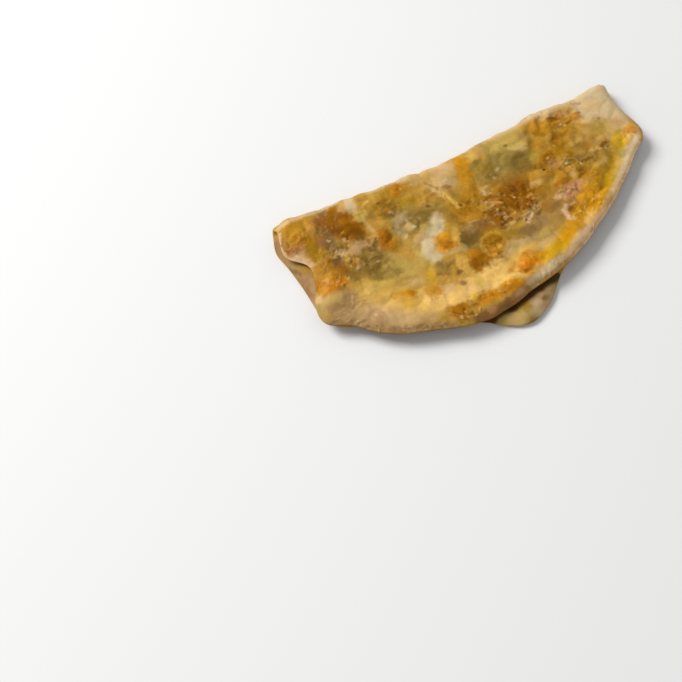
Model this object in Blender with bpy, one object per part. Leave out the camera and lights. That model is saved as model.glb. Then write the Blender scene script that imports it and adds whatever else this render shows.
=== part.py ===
"""Bobbatlu: one thin filled flatbread, browned on a griddle and folded once into a half moon.

The open bread is drawn first, with X along the fold line and Y from the flap that ends
beneath (-Y) to the flap that ends on top (+Y). It is then bent round the fold line, so the
finished piece has its fold towards +Y, its curved rim towards -Y and a flat underside.
"""

import math

import bmesh
import bpy
from mathutils import Vector, noise

MM = 0.001

# Outline of the open bread: a rough circle with bulges. Each bulge has a direction and a
# spread in degrees and a reach. 0 to 180 runs round the top flap, from the right end of the
# fold to the left one, and 0 to -180 runs round the flap beneath.
BREAD_RADIUS = 78.0 * MM
RIM_BULGES = (
    (-7, 33, 11.3 * MM),
    (19.5, 6, 7.0 * MM),
    (28, 18, 7.3 * MM),
    (34, 5, -1.0 * MM),
    (109, 15, 7.0 * MM),
    (139, 20, 17.5 * MM),
    (145, 5, -1.5 * MM),
    (151, 7, 11.5 * MM),
    (170, 6, 8.5 * MM),
    (-22, 8, 4.5 * MM),
    (-62, 14, -3.5 * MM),
    (-93, 13, 12.5 * MM),
    (-127, 19, 8.0 * MM),
    (-149, 11, 16.5 * MM),
    (-168, 5, -1.2 * MM),
    (-170, 15, 14.3 * MM),
)

# Thickness of one flap, where the filling ends, and the soft round rim
FLAP_THICKNESS = 4.4 * MM
RIM_THICKNESS = 3.6 * MM
UNFILLED_RIM_WIDTH = 10.0 * MM
RIM_ROUNDING = 1.0 * MM
RIM_CORNER_FLATTENING = 0.2

# The top flap's edge was rolled thinner by the left end of the fold
LIP_DIRECTION = 166.0
LIP_SPREAD = 14.0
LIP_THINNING = 1.4 * MM
LIP_FULL_AT = 12.0 * MM

# Air between the flaps: a bead along the fold, a thin gap further in, an open mouth at the rim
FOLD_GAP = 0.8 * MM
PRESSED_GAP = 0.45 * MM
PRESSED_FROM = 20.0 * MM
MOUTH_LIFT = 0.5 * MM
MOUTH_DEPTH = 18.0 * MM
MOUTH_WAVES = 3
MOUTH_UNEVENNESS = 0.7

# The fold line is not quite straight: (place along it, spread, sway towards +Y)
FOLD_SWAYS = (
    (-84 * MM, 16 * MM, 2.2 * MM),
    (-42 * MM, 14 * MM, -1.2 * MM),
    (-33 * MM, 5 * MM, -0.5 * MM),
    (-8 * MM, 22 * MM, -3.6 * MM),
    (20 * MM, 20 * MM, -1.4 * MM),
    (38 * MM, 6 * MM, -1.1 * MM),
    (48 * MM, 4 * MM, 1.0 * MM),
    (71 * MM, 7 * MM, -1.3 * MM),
    (89 * MM, 7 * MM, 1.8 * MM),
)
FOLD_SWAY_DEPTH = 35.0 * MM

# Blisters and lumps of filling on the top flap: (x, y, radius, height)
SWELLS = (
    (-27 * MM, 35 * MM, 8 * MM, 0.9 * MM),
    (-57 * MM, 14 * MM, 9 * MM, 0.6 * MM),
    (-43 * MM, 28 * MM, 7 * MM, 0.6 * MM),
    (-22 * MM, 46 * MM, 7 * MM, 0.5 * MM),
    (-9 * MM, 54 * MM, 8 * MM, 0.6 * MM),
    (19 * MM, 38 * MM, 10 * MM, 0.7 * MM),
    (65 * MM, 12 * MM, 10 * MM, 0.6 * MM),
    (38 * MM, 51 * MM, 8 * MM, 0.7 * MM),
    (-78 * MM, 37 * MM, 9 * MM, 0.6 * MM),
    (29 * MM, 16 * MM, 11 * MM, 0.5 * MM),
    (-46 * MM, 61 * MM, 9 * MM, 0.5 * MM),
)
RIPPLE_LENGTH = 15.0 * MM
RIPPLE_HEIGHT = 0.35 * MM
RIPPLE_ORIGIN = Vector((3.7, 1.9, 8.2))
RELIEF_STARTS_AT = 3.0 * MM
RELIEF_FULL_AT = 12.0 * MM

# The sheet of squares that becomes the bread: its columns run across the fold, its rows along it
COLUMNS = 44
FOLD_ROWS = 4
FLAP_ROWS = 19
RIM_STEPS = 3
FOLD_BAND = 0.062
CROWDING_TO_RIM = 0.2

DOUGH_COLOUR = (0.50, 0.27, 0.075, 1.0)
DOUGH_ROUGHNESS = 0.45


def clear_scene():
    """Remove the objects that a new file opens with."""
    for thing in list(bpy.data.objects):
        bpy.data.objects.remove(thing, do_unlink=True)


def bump(distance, spread):
    """A smooth hump, 1 at no distance and fading to 0 past its spread."""
    return math.exp(-((distance / spread) ** 2))


def ease(value):
    """Go smoothly from 0 to 1 while the value goes from 0 to 1."""
    value = min(max(value, 0.0), 1.0)
    return value * value * (3.0 - 2.0 * value)


def rim_radius(direction):
    """Radius of the open bread in a direction given in degrees."""
    radius = BREAD_RADIUS
    for centre, spread, reach in RIM_BULGES:
        turn = (direction - centre + 180.0) % 360.0 - 180.0
        radius += reach * bump(turn, spread)
    return radius


def row_place(place):
    """Crowd the even rows of the sheet into the narrow band that bends round the fold."""
    rows_each_side = FOLD_ROWS + FLAP_ROWS
    band_share = FOLD_ROWS / rows_each_side
    distance = abs(place)
    if distance <= band_share:
        moved = FOLD_BAND * distance / band_share
    else:
        along = (distance - band_share) / (1.0 - band_share)
        along += CROWDING_TO_RIM * along * (1.0 - along)
        moved = FOLD_BAND + (1.0 - FOLD_BAND) * along
    return math.copysign(moved, place)


def open_bread_point(column, row):
    """Place a point of the square sheet on the open bread.

    Both coordinates run from -1 to 1. Returns x, y and how far out the point is, from 0 in
    the middle to 1 on the rim.
    """
    across = column * (1.0 + CROWDING_TO_RIM * (1.0 - column * column))
    along = row_place(row)
    x = across * math.sqrt(1.0 - along * along / 2.0)
    y = along * math.sqrt(1.0 - across * across / 2.0)
    reach = math.hypot(x, y)
    direction = math.degrees(math.atan2(y, x))
    radius = BREAD_RADIUS + (rim_radius(direction) - BREAD_RADIUS) * reach * reach
    return x * radius, y * radius, reach


def relief(x, y, rim_distance):
    """Height of the blisters and ripples on the top flap's upper skin."""
    if y <= 0.0:
        return 0.0
    ripple = noise.noise(Vector((x, y, 0.0)) / RIPPLE_LENGTH + RIPPLE_ORIGIN)
    height = RIPPLE_HEIGHT * ripple
    for swell_x, swell_y, radius, swell_height in SWELLS:
        height += swell_height * bump(math.hypot(x - swell_x, y - swell_y), radius)
    from_fold = ease((y - RELIEF_STARTS_AT) / (RELIEF_FULL_AT - RELIEF_STARTS_AT))
    from_rim = ease(rim_distance / RELIEF_FULL_AT)
    return height * from_fold * from_rim


def lip_thinning(x, y, rim_distance):
    """How much thinner the top flap is along its rolled edge."""
    direction = math.degrees(math.atan2(y, x))
    near_rim = ease(1.0 - rim_distance / UNFILLED_RIM_WIDTH)
    return LIP_THINNING * bump(direction - LIP_DIRECTION, LIP_SPREAD) * near_rim * ease(y / LIP_FULL_AT)


def half_thickness(x, y, rim_distance):
    """Half the thickness of one flap, thinner where the filling stops short of the rim."""
    filled = ease(rim_distance / UNFILLED_RIM_WIDTH)
    thickness = RIM_THICKNESS + (FLAP_THICKNESS - RIM_THICKNESS) * filled
    return (thickness - lip_thinning(x, y, rim_distance)) / 2.0


def top_flap_lift(x, y, rim_distance):
    """How far the top flap settles inwards of the fold and lifts at its rim."""
    away_from_fold = ease(y / PRESSED_FROM)
    settled = (PRESSED_GAP - FOLD_GAP) * away_from_fold
    turn = math.atan2(y, x)
    wave = 1.0 + MOUTH_UNEVENNESS * math.cos(2.0 * MOUTH_WAVES * turn)
    mouth = MOUTH_LIFT * wave * ease(1.0 - rim_distance / MOUTH_DEPTH) * away_from_fold
    return settled + mouth - lip_thinning(x, y, rim_distance) / 2.0


def fold_sway(x, y):
    """How far the fold line wanders from straight, fading out towards the rim."""
    sway = sum(reach * bump(x - place, spread) for place, spread, reach in FOLD_SWAYS)
    return sway * bump(y, FOLD_SWAY_DEPTH)


def fold_over(x, y, outwards, rim_distance):
    """Bend a point of the open bread round the fold line.

    Outwards is its height over the middle of the dough, towards the skin that ends outside.
    """
    middle_radius = (FLAP_THICKNESS + FOLD_GAP) / 2.0
    half_bend = middle_radius * math.pi / 2.0
    radius = middle_radius + outwards
    if abs(y) <= half_bend:
        angle = y / middle_radius
        folded = Vector((x, radius * math.cos(angle), radius * math.sin(angle)))
    else:
        folded = Vector((x, half_bend - abs(y), math.copysign(radius, y)))
    if y > 0.0:
        folded.z += top_flap_lift(x, y, rim_distance)
    folded.y += fold_sway(x, y)
    return folded


def bread_point(sheet_point):
    """Take a point of the thick square sheet to its place on the folded bread."""
    column, row, layer = sheet_point
    x, y, reach = open_bread_point(column, row)
    radius = math.hypot(x, y)
    rim_distance = radius * (1.0 - reach) / max(reach, 1e-6)
    side = 2.0 * layer - 1.0
    outwards = side * half_thickness(x, y, rim_distance)
    if max(abs(column), abs(row)) > 1.0 - 1e-6:
        inset = 1.0 - RIM_ROUNDING * side * side / radius
        x *= inset
        y *= inset
        outwards *= 1.0 - RIM_CORNER_FLATTENING * side * side
    elif side > 0.0:
        outwards += relief(x, y, rim_distance)
    return fold_over(x, y, outwards, rim_distance)


def thick_sheet():
    """A flat square sheet of squares, 2 wide and 1 thick, closed all round."""
    rows = 2 * (FOLD_ROWS + FLAP_ROWS)
    bpy.ops.mesh.primitive_grid_add(x_subdivisions=COLUMNS, y_subdivisions=rows, size=2.0)
    bpy.ops.object.mode_set(mode="EDIT")
    bpy.ops.mesh.select_all(action="SELECT")
    for _ in range(RIM_STEPS):
        bpy.ops.mesh.extrude_region_move(TRANSFORM_OT_translate={"value": (0.0, 0.0, 1.0 / RIM_STEPS)})
    bpy.ops.object.mode_set(mode="OBJECT")
    return bpy.context.object


def shape_bread(bread):
    """Move the sheet's points to their places and split its squares the better way."""
    shape = bmesh.new()
    shape.from_mesh(bread.data)
    for vertex in shape.verts:
        vertex.co = bread_point(vertex.co)
    bmesh.ops.triangulate(shape, faces=shape.faces, quad_method="BEAUTY")
    bmesh.ops.recalc_face_normals(shape, faces=shape.faces)
    shape.to_mesh(bread.data)
    shape.free()


def stand_at_origin(bread):
    """Put the middle of the underside of the bread's box at the origin."""
    corners = [vertex.co for vertex in bread.data.vertices]
    low = Vector([min(corner[axis] for corner in corners) for axis in range(3)])
    high = Vector([max(corner[axis] for corner in corners) for axis in range(3)])
    foot = (low + high) / 2.0
    foot.z = low.z
    for vertex in bread.data.vertices:
        vertex.co -= foot


def dough_material():
    """Browned, oiled dough."""
    material = bpy.data.materials.new("Browned dough")
    material.use_nodes = True
    shader = material.node_tree.nodes["Principled BSDF"]
    shader.inputs["Base Color"].default_value = DOUGH_COLOUR
    shader.inputs["Roughness"].default_value = DOUGH_ROUGHNESS
    shader.inputs["Metallic"].default_value = 0.0
    return material


def make_bread():
    """The whole folded bread as one closed piece."""
    bread = thick_sheet()
    bread.name = "bobbatlu"
    shape_bread(bread)
    stand_at_origin(bread)
    bread.data.shade_smooth()
    bread.data.materials.append(dough_material())
    return bread


def main():
    """Model the bread in a collection of its own."""
    clear_scene()
    collection = bpy.data.collections.new("Bobbatlu")
    bpy.context.scene.collection.children.link(collection)
    bread = make_bread()
    for holder in list(bread.users_collection):
        holder.objects.unlink(bread)
    collection.objects.link(bread)


main()
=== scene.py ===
"""Looks of the bobbatlu, a thin filled flatbread folded once and browned in patches on a griddle.

Places on the bread are in millimetres: x runs along the fold line, from its middle to the right,
and out is the distance from the fold line towards the curved rim.
"""

import logging
import math
from dataclasses import dataclass, field
from enum import Enum

import bpy
import numpy as np
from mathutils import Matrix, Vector, noise


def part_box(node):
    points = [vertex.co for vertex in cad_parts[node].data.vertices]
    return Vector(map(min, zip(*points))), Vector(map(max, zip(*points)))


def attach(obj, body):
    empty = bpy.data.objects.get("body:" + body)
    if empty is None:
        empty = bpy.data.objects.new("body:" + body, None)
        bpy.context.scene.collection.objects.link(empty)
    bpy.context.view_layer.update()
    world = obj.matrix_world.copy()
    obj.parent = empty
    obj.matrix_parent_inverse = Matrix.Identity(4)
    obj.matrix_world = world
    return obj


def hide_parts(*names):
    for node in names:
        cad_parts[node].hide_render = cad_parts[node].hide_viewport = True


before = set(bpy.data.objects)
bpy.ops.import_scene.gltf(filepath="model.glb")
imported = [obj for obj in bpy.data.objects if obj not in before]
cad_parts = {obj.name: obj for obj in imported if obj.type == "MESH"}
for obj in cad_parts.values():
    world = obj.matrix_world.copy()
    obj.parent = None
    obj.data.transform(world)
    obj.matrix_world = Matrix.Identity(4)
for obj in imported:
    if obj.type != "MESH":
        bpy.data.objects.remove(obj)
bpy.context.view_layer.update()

MM = 0.001
LOG = logging.getLogger("bobbatlu")

# Narrows the soft edge of every patch by the same share
EDGE_SOFTNESS = 0.65

# Brings the noise, which mostly stays between -0.5 and 0.5, to about -1 to 1
NOISE_GAIN = 2.0


def linear(hex_colour: str) -> tuple[float, float, float, float]:
    """Turn an sRGB hex colour into a linear one.

    Args:
        hex_colour: Six hex digits, red first.

    Returns:
        Linear red, green and blue, and a full alpha.
    """
    values = [int(hex_colour[start:start + 2], 16) / 255.0 for start in (0, 2, 4)]
    red, green, blue = [
        value / 12.92 if value <= 0.04045 else ((value + 0.055) / 1.055) ** 2.4 for value in values
    ]
    return red, green, blue, 1.0


def hump(distance: np.ndarray, spread: float) -> np.ndarray:
    """A smooth hump, 1 at no distance and fading to 0 past its spread."""
    return np.exp(-((distance / spread) ** 2))


def ease(value: np.ndarray) -> np.ndarray:
    """Go smoothly from 0 to 1 while the value goes from 0 to 1."""
    value = np.clip(value, 0.0, 1.0)
    return value * value * (3.0 - 2.0 * value)


class Pattern(Enum):
    """The noise patterns: each is a slice of the same noise, at its own height."""

    WANDER_X = 1.5
    WANDER_OUT = 5.5
    FRAY_X = 9.5
    FRAY_OUT = 13.5
    RIM_WOBBLE = 21.5
    LUMPS = 31.5
    GRAINS = 41.5
    WRINKLES = 61.5
    RIDGES = 71.5
    RIDGE_BREAKS = 75.5
    PITS = 79.5
    FLAKE_FRAY_X = 83.5
    FLAKE_FRAY_OUT = 87.5
    CRUMBLE_X = 91.5
    CRUMBLE_OUT = 95.5


def ripples(x: np.ndarray, y: np.ndarray, length: float, pattern: Pattern) -> np.ndarray:
    """Smooth noise over a plane.

    Args:
        x: First coordinate of each point.
        y: Second coordinate of each point.
        length: Distance over which the noise changes, in the points' unit.
        pattern: The noise pattern.

    Returns:
        A value for each point, about -0.7 to 0.7.
    """
    height = pattern.value
    places = zip((x / length).tolist(), (y / length).tolist())
    return np.array([noise.noise(Vector((first, second, height))) for first, second in places])


def sway(
    x: np.ndarray,
    y: np.ndarray,
    reach: float | np.ndarray,
    length: float,
    patterns: tuple[Pattern, Pattern],
) -> tuple[np.ndarray, np.ndarray]:
    """Noise that shifts points in two directions at once.

    Args:
        x: First coordinate of each point.
        y: Second coordinate of each point.
        reach: About how far the points go, in their own unit.
        length: Distance over which the shifts change, in the points' unit.
        patterns: The noise patterns of the two shifts.

    Returns:
        The two shifts of each point.
    """
    first, second = patterns
    gain = reach * NOISE_GAIN
    return gain * ripples(x, y, length, first), gain * ripples(x, y, length, second)


class Tint(Enum):
    """Tints of the skin: an sRGB hex colour, and how crisp and grainy the dough is there, 0 to 1."""

    DOUGH = ("b48a3a", 0.25)
    CREAM = ("d2ae76", 0.10)
    BUFF = ("d3bd96", 0.05)
    PEACH_CREAM = ("dab388", 0.05)
    WHITE_CREAM = ("c9b78f", 0.05)
    # Pale cream of unbrowned dough; on the right rim it is also painted light, where the rim faces away
    # from the key light
    PALE_CREAM_AND_PAINTED_LIGHT = ("f2d4a6", 0.05)
    PINK_CREAM = ("d0a878", 0.10)
    MAUVE_CREAM = ("b0966a", 0.15)
    GREENISH_CREAM = ("bfa458", 0.15)
    LIGHT_GOLD = ("efc272", 0.15)
    PALE_GOLD = ("dcb055", 0.15)
    GOLDEN_TAN = ("b88c3a", 0.30)
    GOLD = ("bb851e", 0.40)
    BRIGHT_GOLD = ("cd8e10", 0.40)
    YELLOW = ("d6a618", 0.30)
    AMBER = ("cd9034", 0.35)
    ORANGE_GOLD = ("c27b0e", 0.40)
    VIVID_ORANGE = ("d27d06", 0.45)
    GOLD_BROWN = ("a6730e", 0.50)
    BROWN_GOLD = ("9c640a", 0.50)
    BROWN = ("865104", 0.40)
    DARK_BROWN = ("6c4408", 0.40)
    GOLDEN_OLIVE = ("a0781a", 0.40)
    OLIVE_YELLOW = ("ba981e", 0.25)
    OLIVE_GOLD = ("ac9038", 0.25)
    OLIVE = ("82652a", 0.40)
    OLIVE_SHADE = ("745a26", 0.35)
    GREY_OLIVE = ("8d7638", 0.25)
    OLIVE_BEIGE = ("a07c42", 0.20)
    MAUVE_BEIGE = ("a27f54", 0.15)
    PINK_TAN = ("b9835a", 0.20)
    PINK_GREY = ("b6946c", 0.15)
    BROWN_MAUVE = ("845b34", 0.40)
    RED_MAUVE = ("8c5a38", 0.30)
    GREY_MAUVE = ("78593a", 0.30)
    SHADE = ("4a2d0e", 0.30)

    @property
    def colour(self) -> np.ndarray:
        """The linear colour, with a full alpha."""
        return np.array(linear(self.value[0]))

    @property
    def crust(self) -> float:
        """How crisp and grainy the dough is."""
        return self.value[1]


@dataclass(frozen=True)
class Patch:
    """A soft oval of one tint.

    x and out are its middle, along and across half its length and width, and turn the degrees
    by which its right end dips away from the fold.
    """

    x: float
    out: float
    along: float
    across: float
    turn: float
    tint: Tint
    strength: float = 0.85
    soft: float = 0.35

    @property
    def size(self) -> float:
        """Half the narrower side."""
        return min(self.along, self.across)

    def cover(self, x: np.ndarray, out: np.ndarray) -> np.ndarray:
        """How far the patch covers each point.

        Args:
            x: Place of each point along the fold.
            out: Distance of each point from the fold.

        Returns:
            A value for each point, 0 to strength.
        """
        turn = math.radians(self.turn)
        along = (x - self.x) * math.cos(turn) + (out - self.out) * math.sin(turn)
        across = (out - self.out) * math.cos(turn) - (x - self.x) * math.sin(turn)
        reach = np.hypot(along / self.along, across / self.across)
        soft = EDGE_SOFTNESS * self.soft
        return self.strength * ease((1.0 + soft - reach) / (2.0 * soft))


@dataclass(frozen=True)
class Streak:
    """A soft line of one tint from (x, out) to (end_x, end_out), wide to each side."""

    x: float
    out: float
    end_x: float
    end_out: float
    wide: float
    tint: Tint
    strength: float = 0.85
    soft: float = 0.5

    @property
    def size(self) -> float:
        """Half the width."""
        return self.wide

    def cover(self, x: np.ndarray, out: np.ndarray) -> np.ndarray:
        """How far the streak covers each point.

        Args:
            x: Place of each point along the fold.
            out: Distance of each point from the fold.

        Returns:
            A value for each point, 0 to strength.
        """
        run_x = self.end_x - self.x
        run_out = self.end_out - self.out
        share = ((x - self.x) * run_x + (out - self.out) * run_out) / (run_x**2 + run_out**2)
        share = np.clip(share, 0.0, 1.0)
        distance = np.hypot(x - self.x - share * run_x, out - self.out - share * run_out)
        reach = distance / self.wide
        return self.strength * ease((1.0 + self.soft - reach) / (2.0 * self.soft))


@dataclass(frozen=True)
class Ring:
    """A soft ring of one tint round (x, out), wide to each side of its radius."""

    x: float
    out: float
    radius: float
    wide: float
    tint: Tint
    strength: float = 0.85

    @property
    def size(self) -> float:
        """Half the width of the line."""
        return self.wide

    def cover(self, x: np.ndarray, out: np.ndarray) -> np.ndarray:
        """How far the ring covers each point.

        Args:
            x: Place of each point along the fold.
            out: Distance of each point from the fold.

        Returns:
            A value for each point, 0 to strength.
        """
        from_ring = np.hypot(x - self.x, out - self.out) - self.radius
        return self.strength * hump(from_ring, self.wide)


Mark = Patch | Streak | Ring


@dataclass(frozen=True)
class Blister:
    """A small blister of the top flap: its rim rises round (x, out) and its middle rises or sinks.

    The spreads say how wide the rim and the middle are, as shares of the radius.
    """

    x: float
    out: float
    radius: float
    rim_rise: float
    middle_rise: float
    rim_spread: float = 0.45
    middle_spread: float = 0.7

    def height(self, x: np.ndarray, out: np.ndarray) -> np.ndarray:
        """Height that the blister adds at each point.

        Args:
            x: Place of each point along the fold.
            out: Distance of each point from the fold.

        Returns:
            The height at each point.
        """
        distance = np.hypot(x - self.x, out - self.out)
        rim = self.rim_rise * hump(distance - self.radius, self.radius * self.rim_spread)
        return rim + self.middle_rise * hump(distance, self.radius * self.middle_spread)


@dataclass(frozen=True)
class RoughArea:
    """A crinkled oval of the crust round (x, out), whose ridges take the tint as a painted highlight and
    whose pits get painted shade.
    """

    x: float
    out: float
    along: float
    across: float
    turn: float
    strength: float
    tint: Tint
    soft: float = 0.5

    def cover(self, x: np.ndarray, out: np.ndarray) -> np.ndarray:
        """How rough each point is made, 0 to strength."""
        oval = Patch(
            self.x, self.out, self.along, self.across, self.turn, self.tint, self.strength, self.soft
        )
        return oval.cover(x, out)


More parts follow.
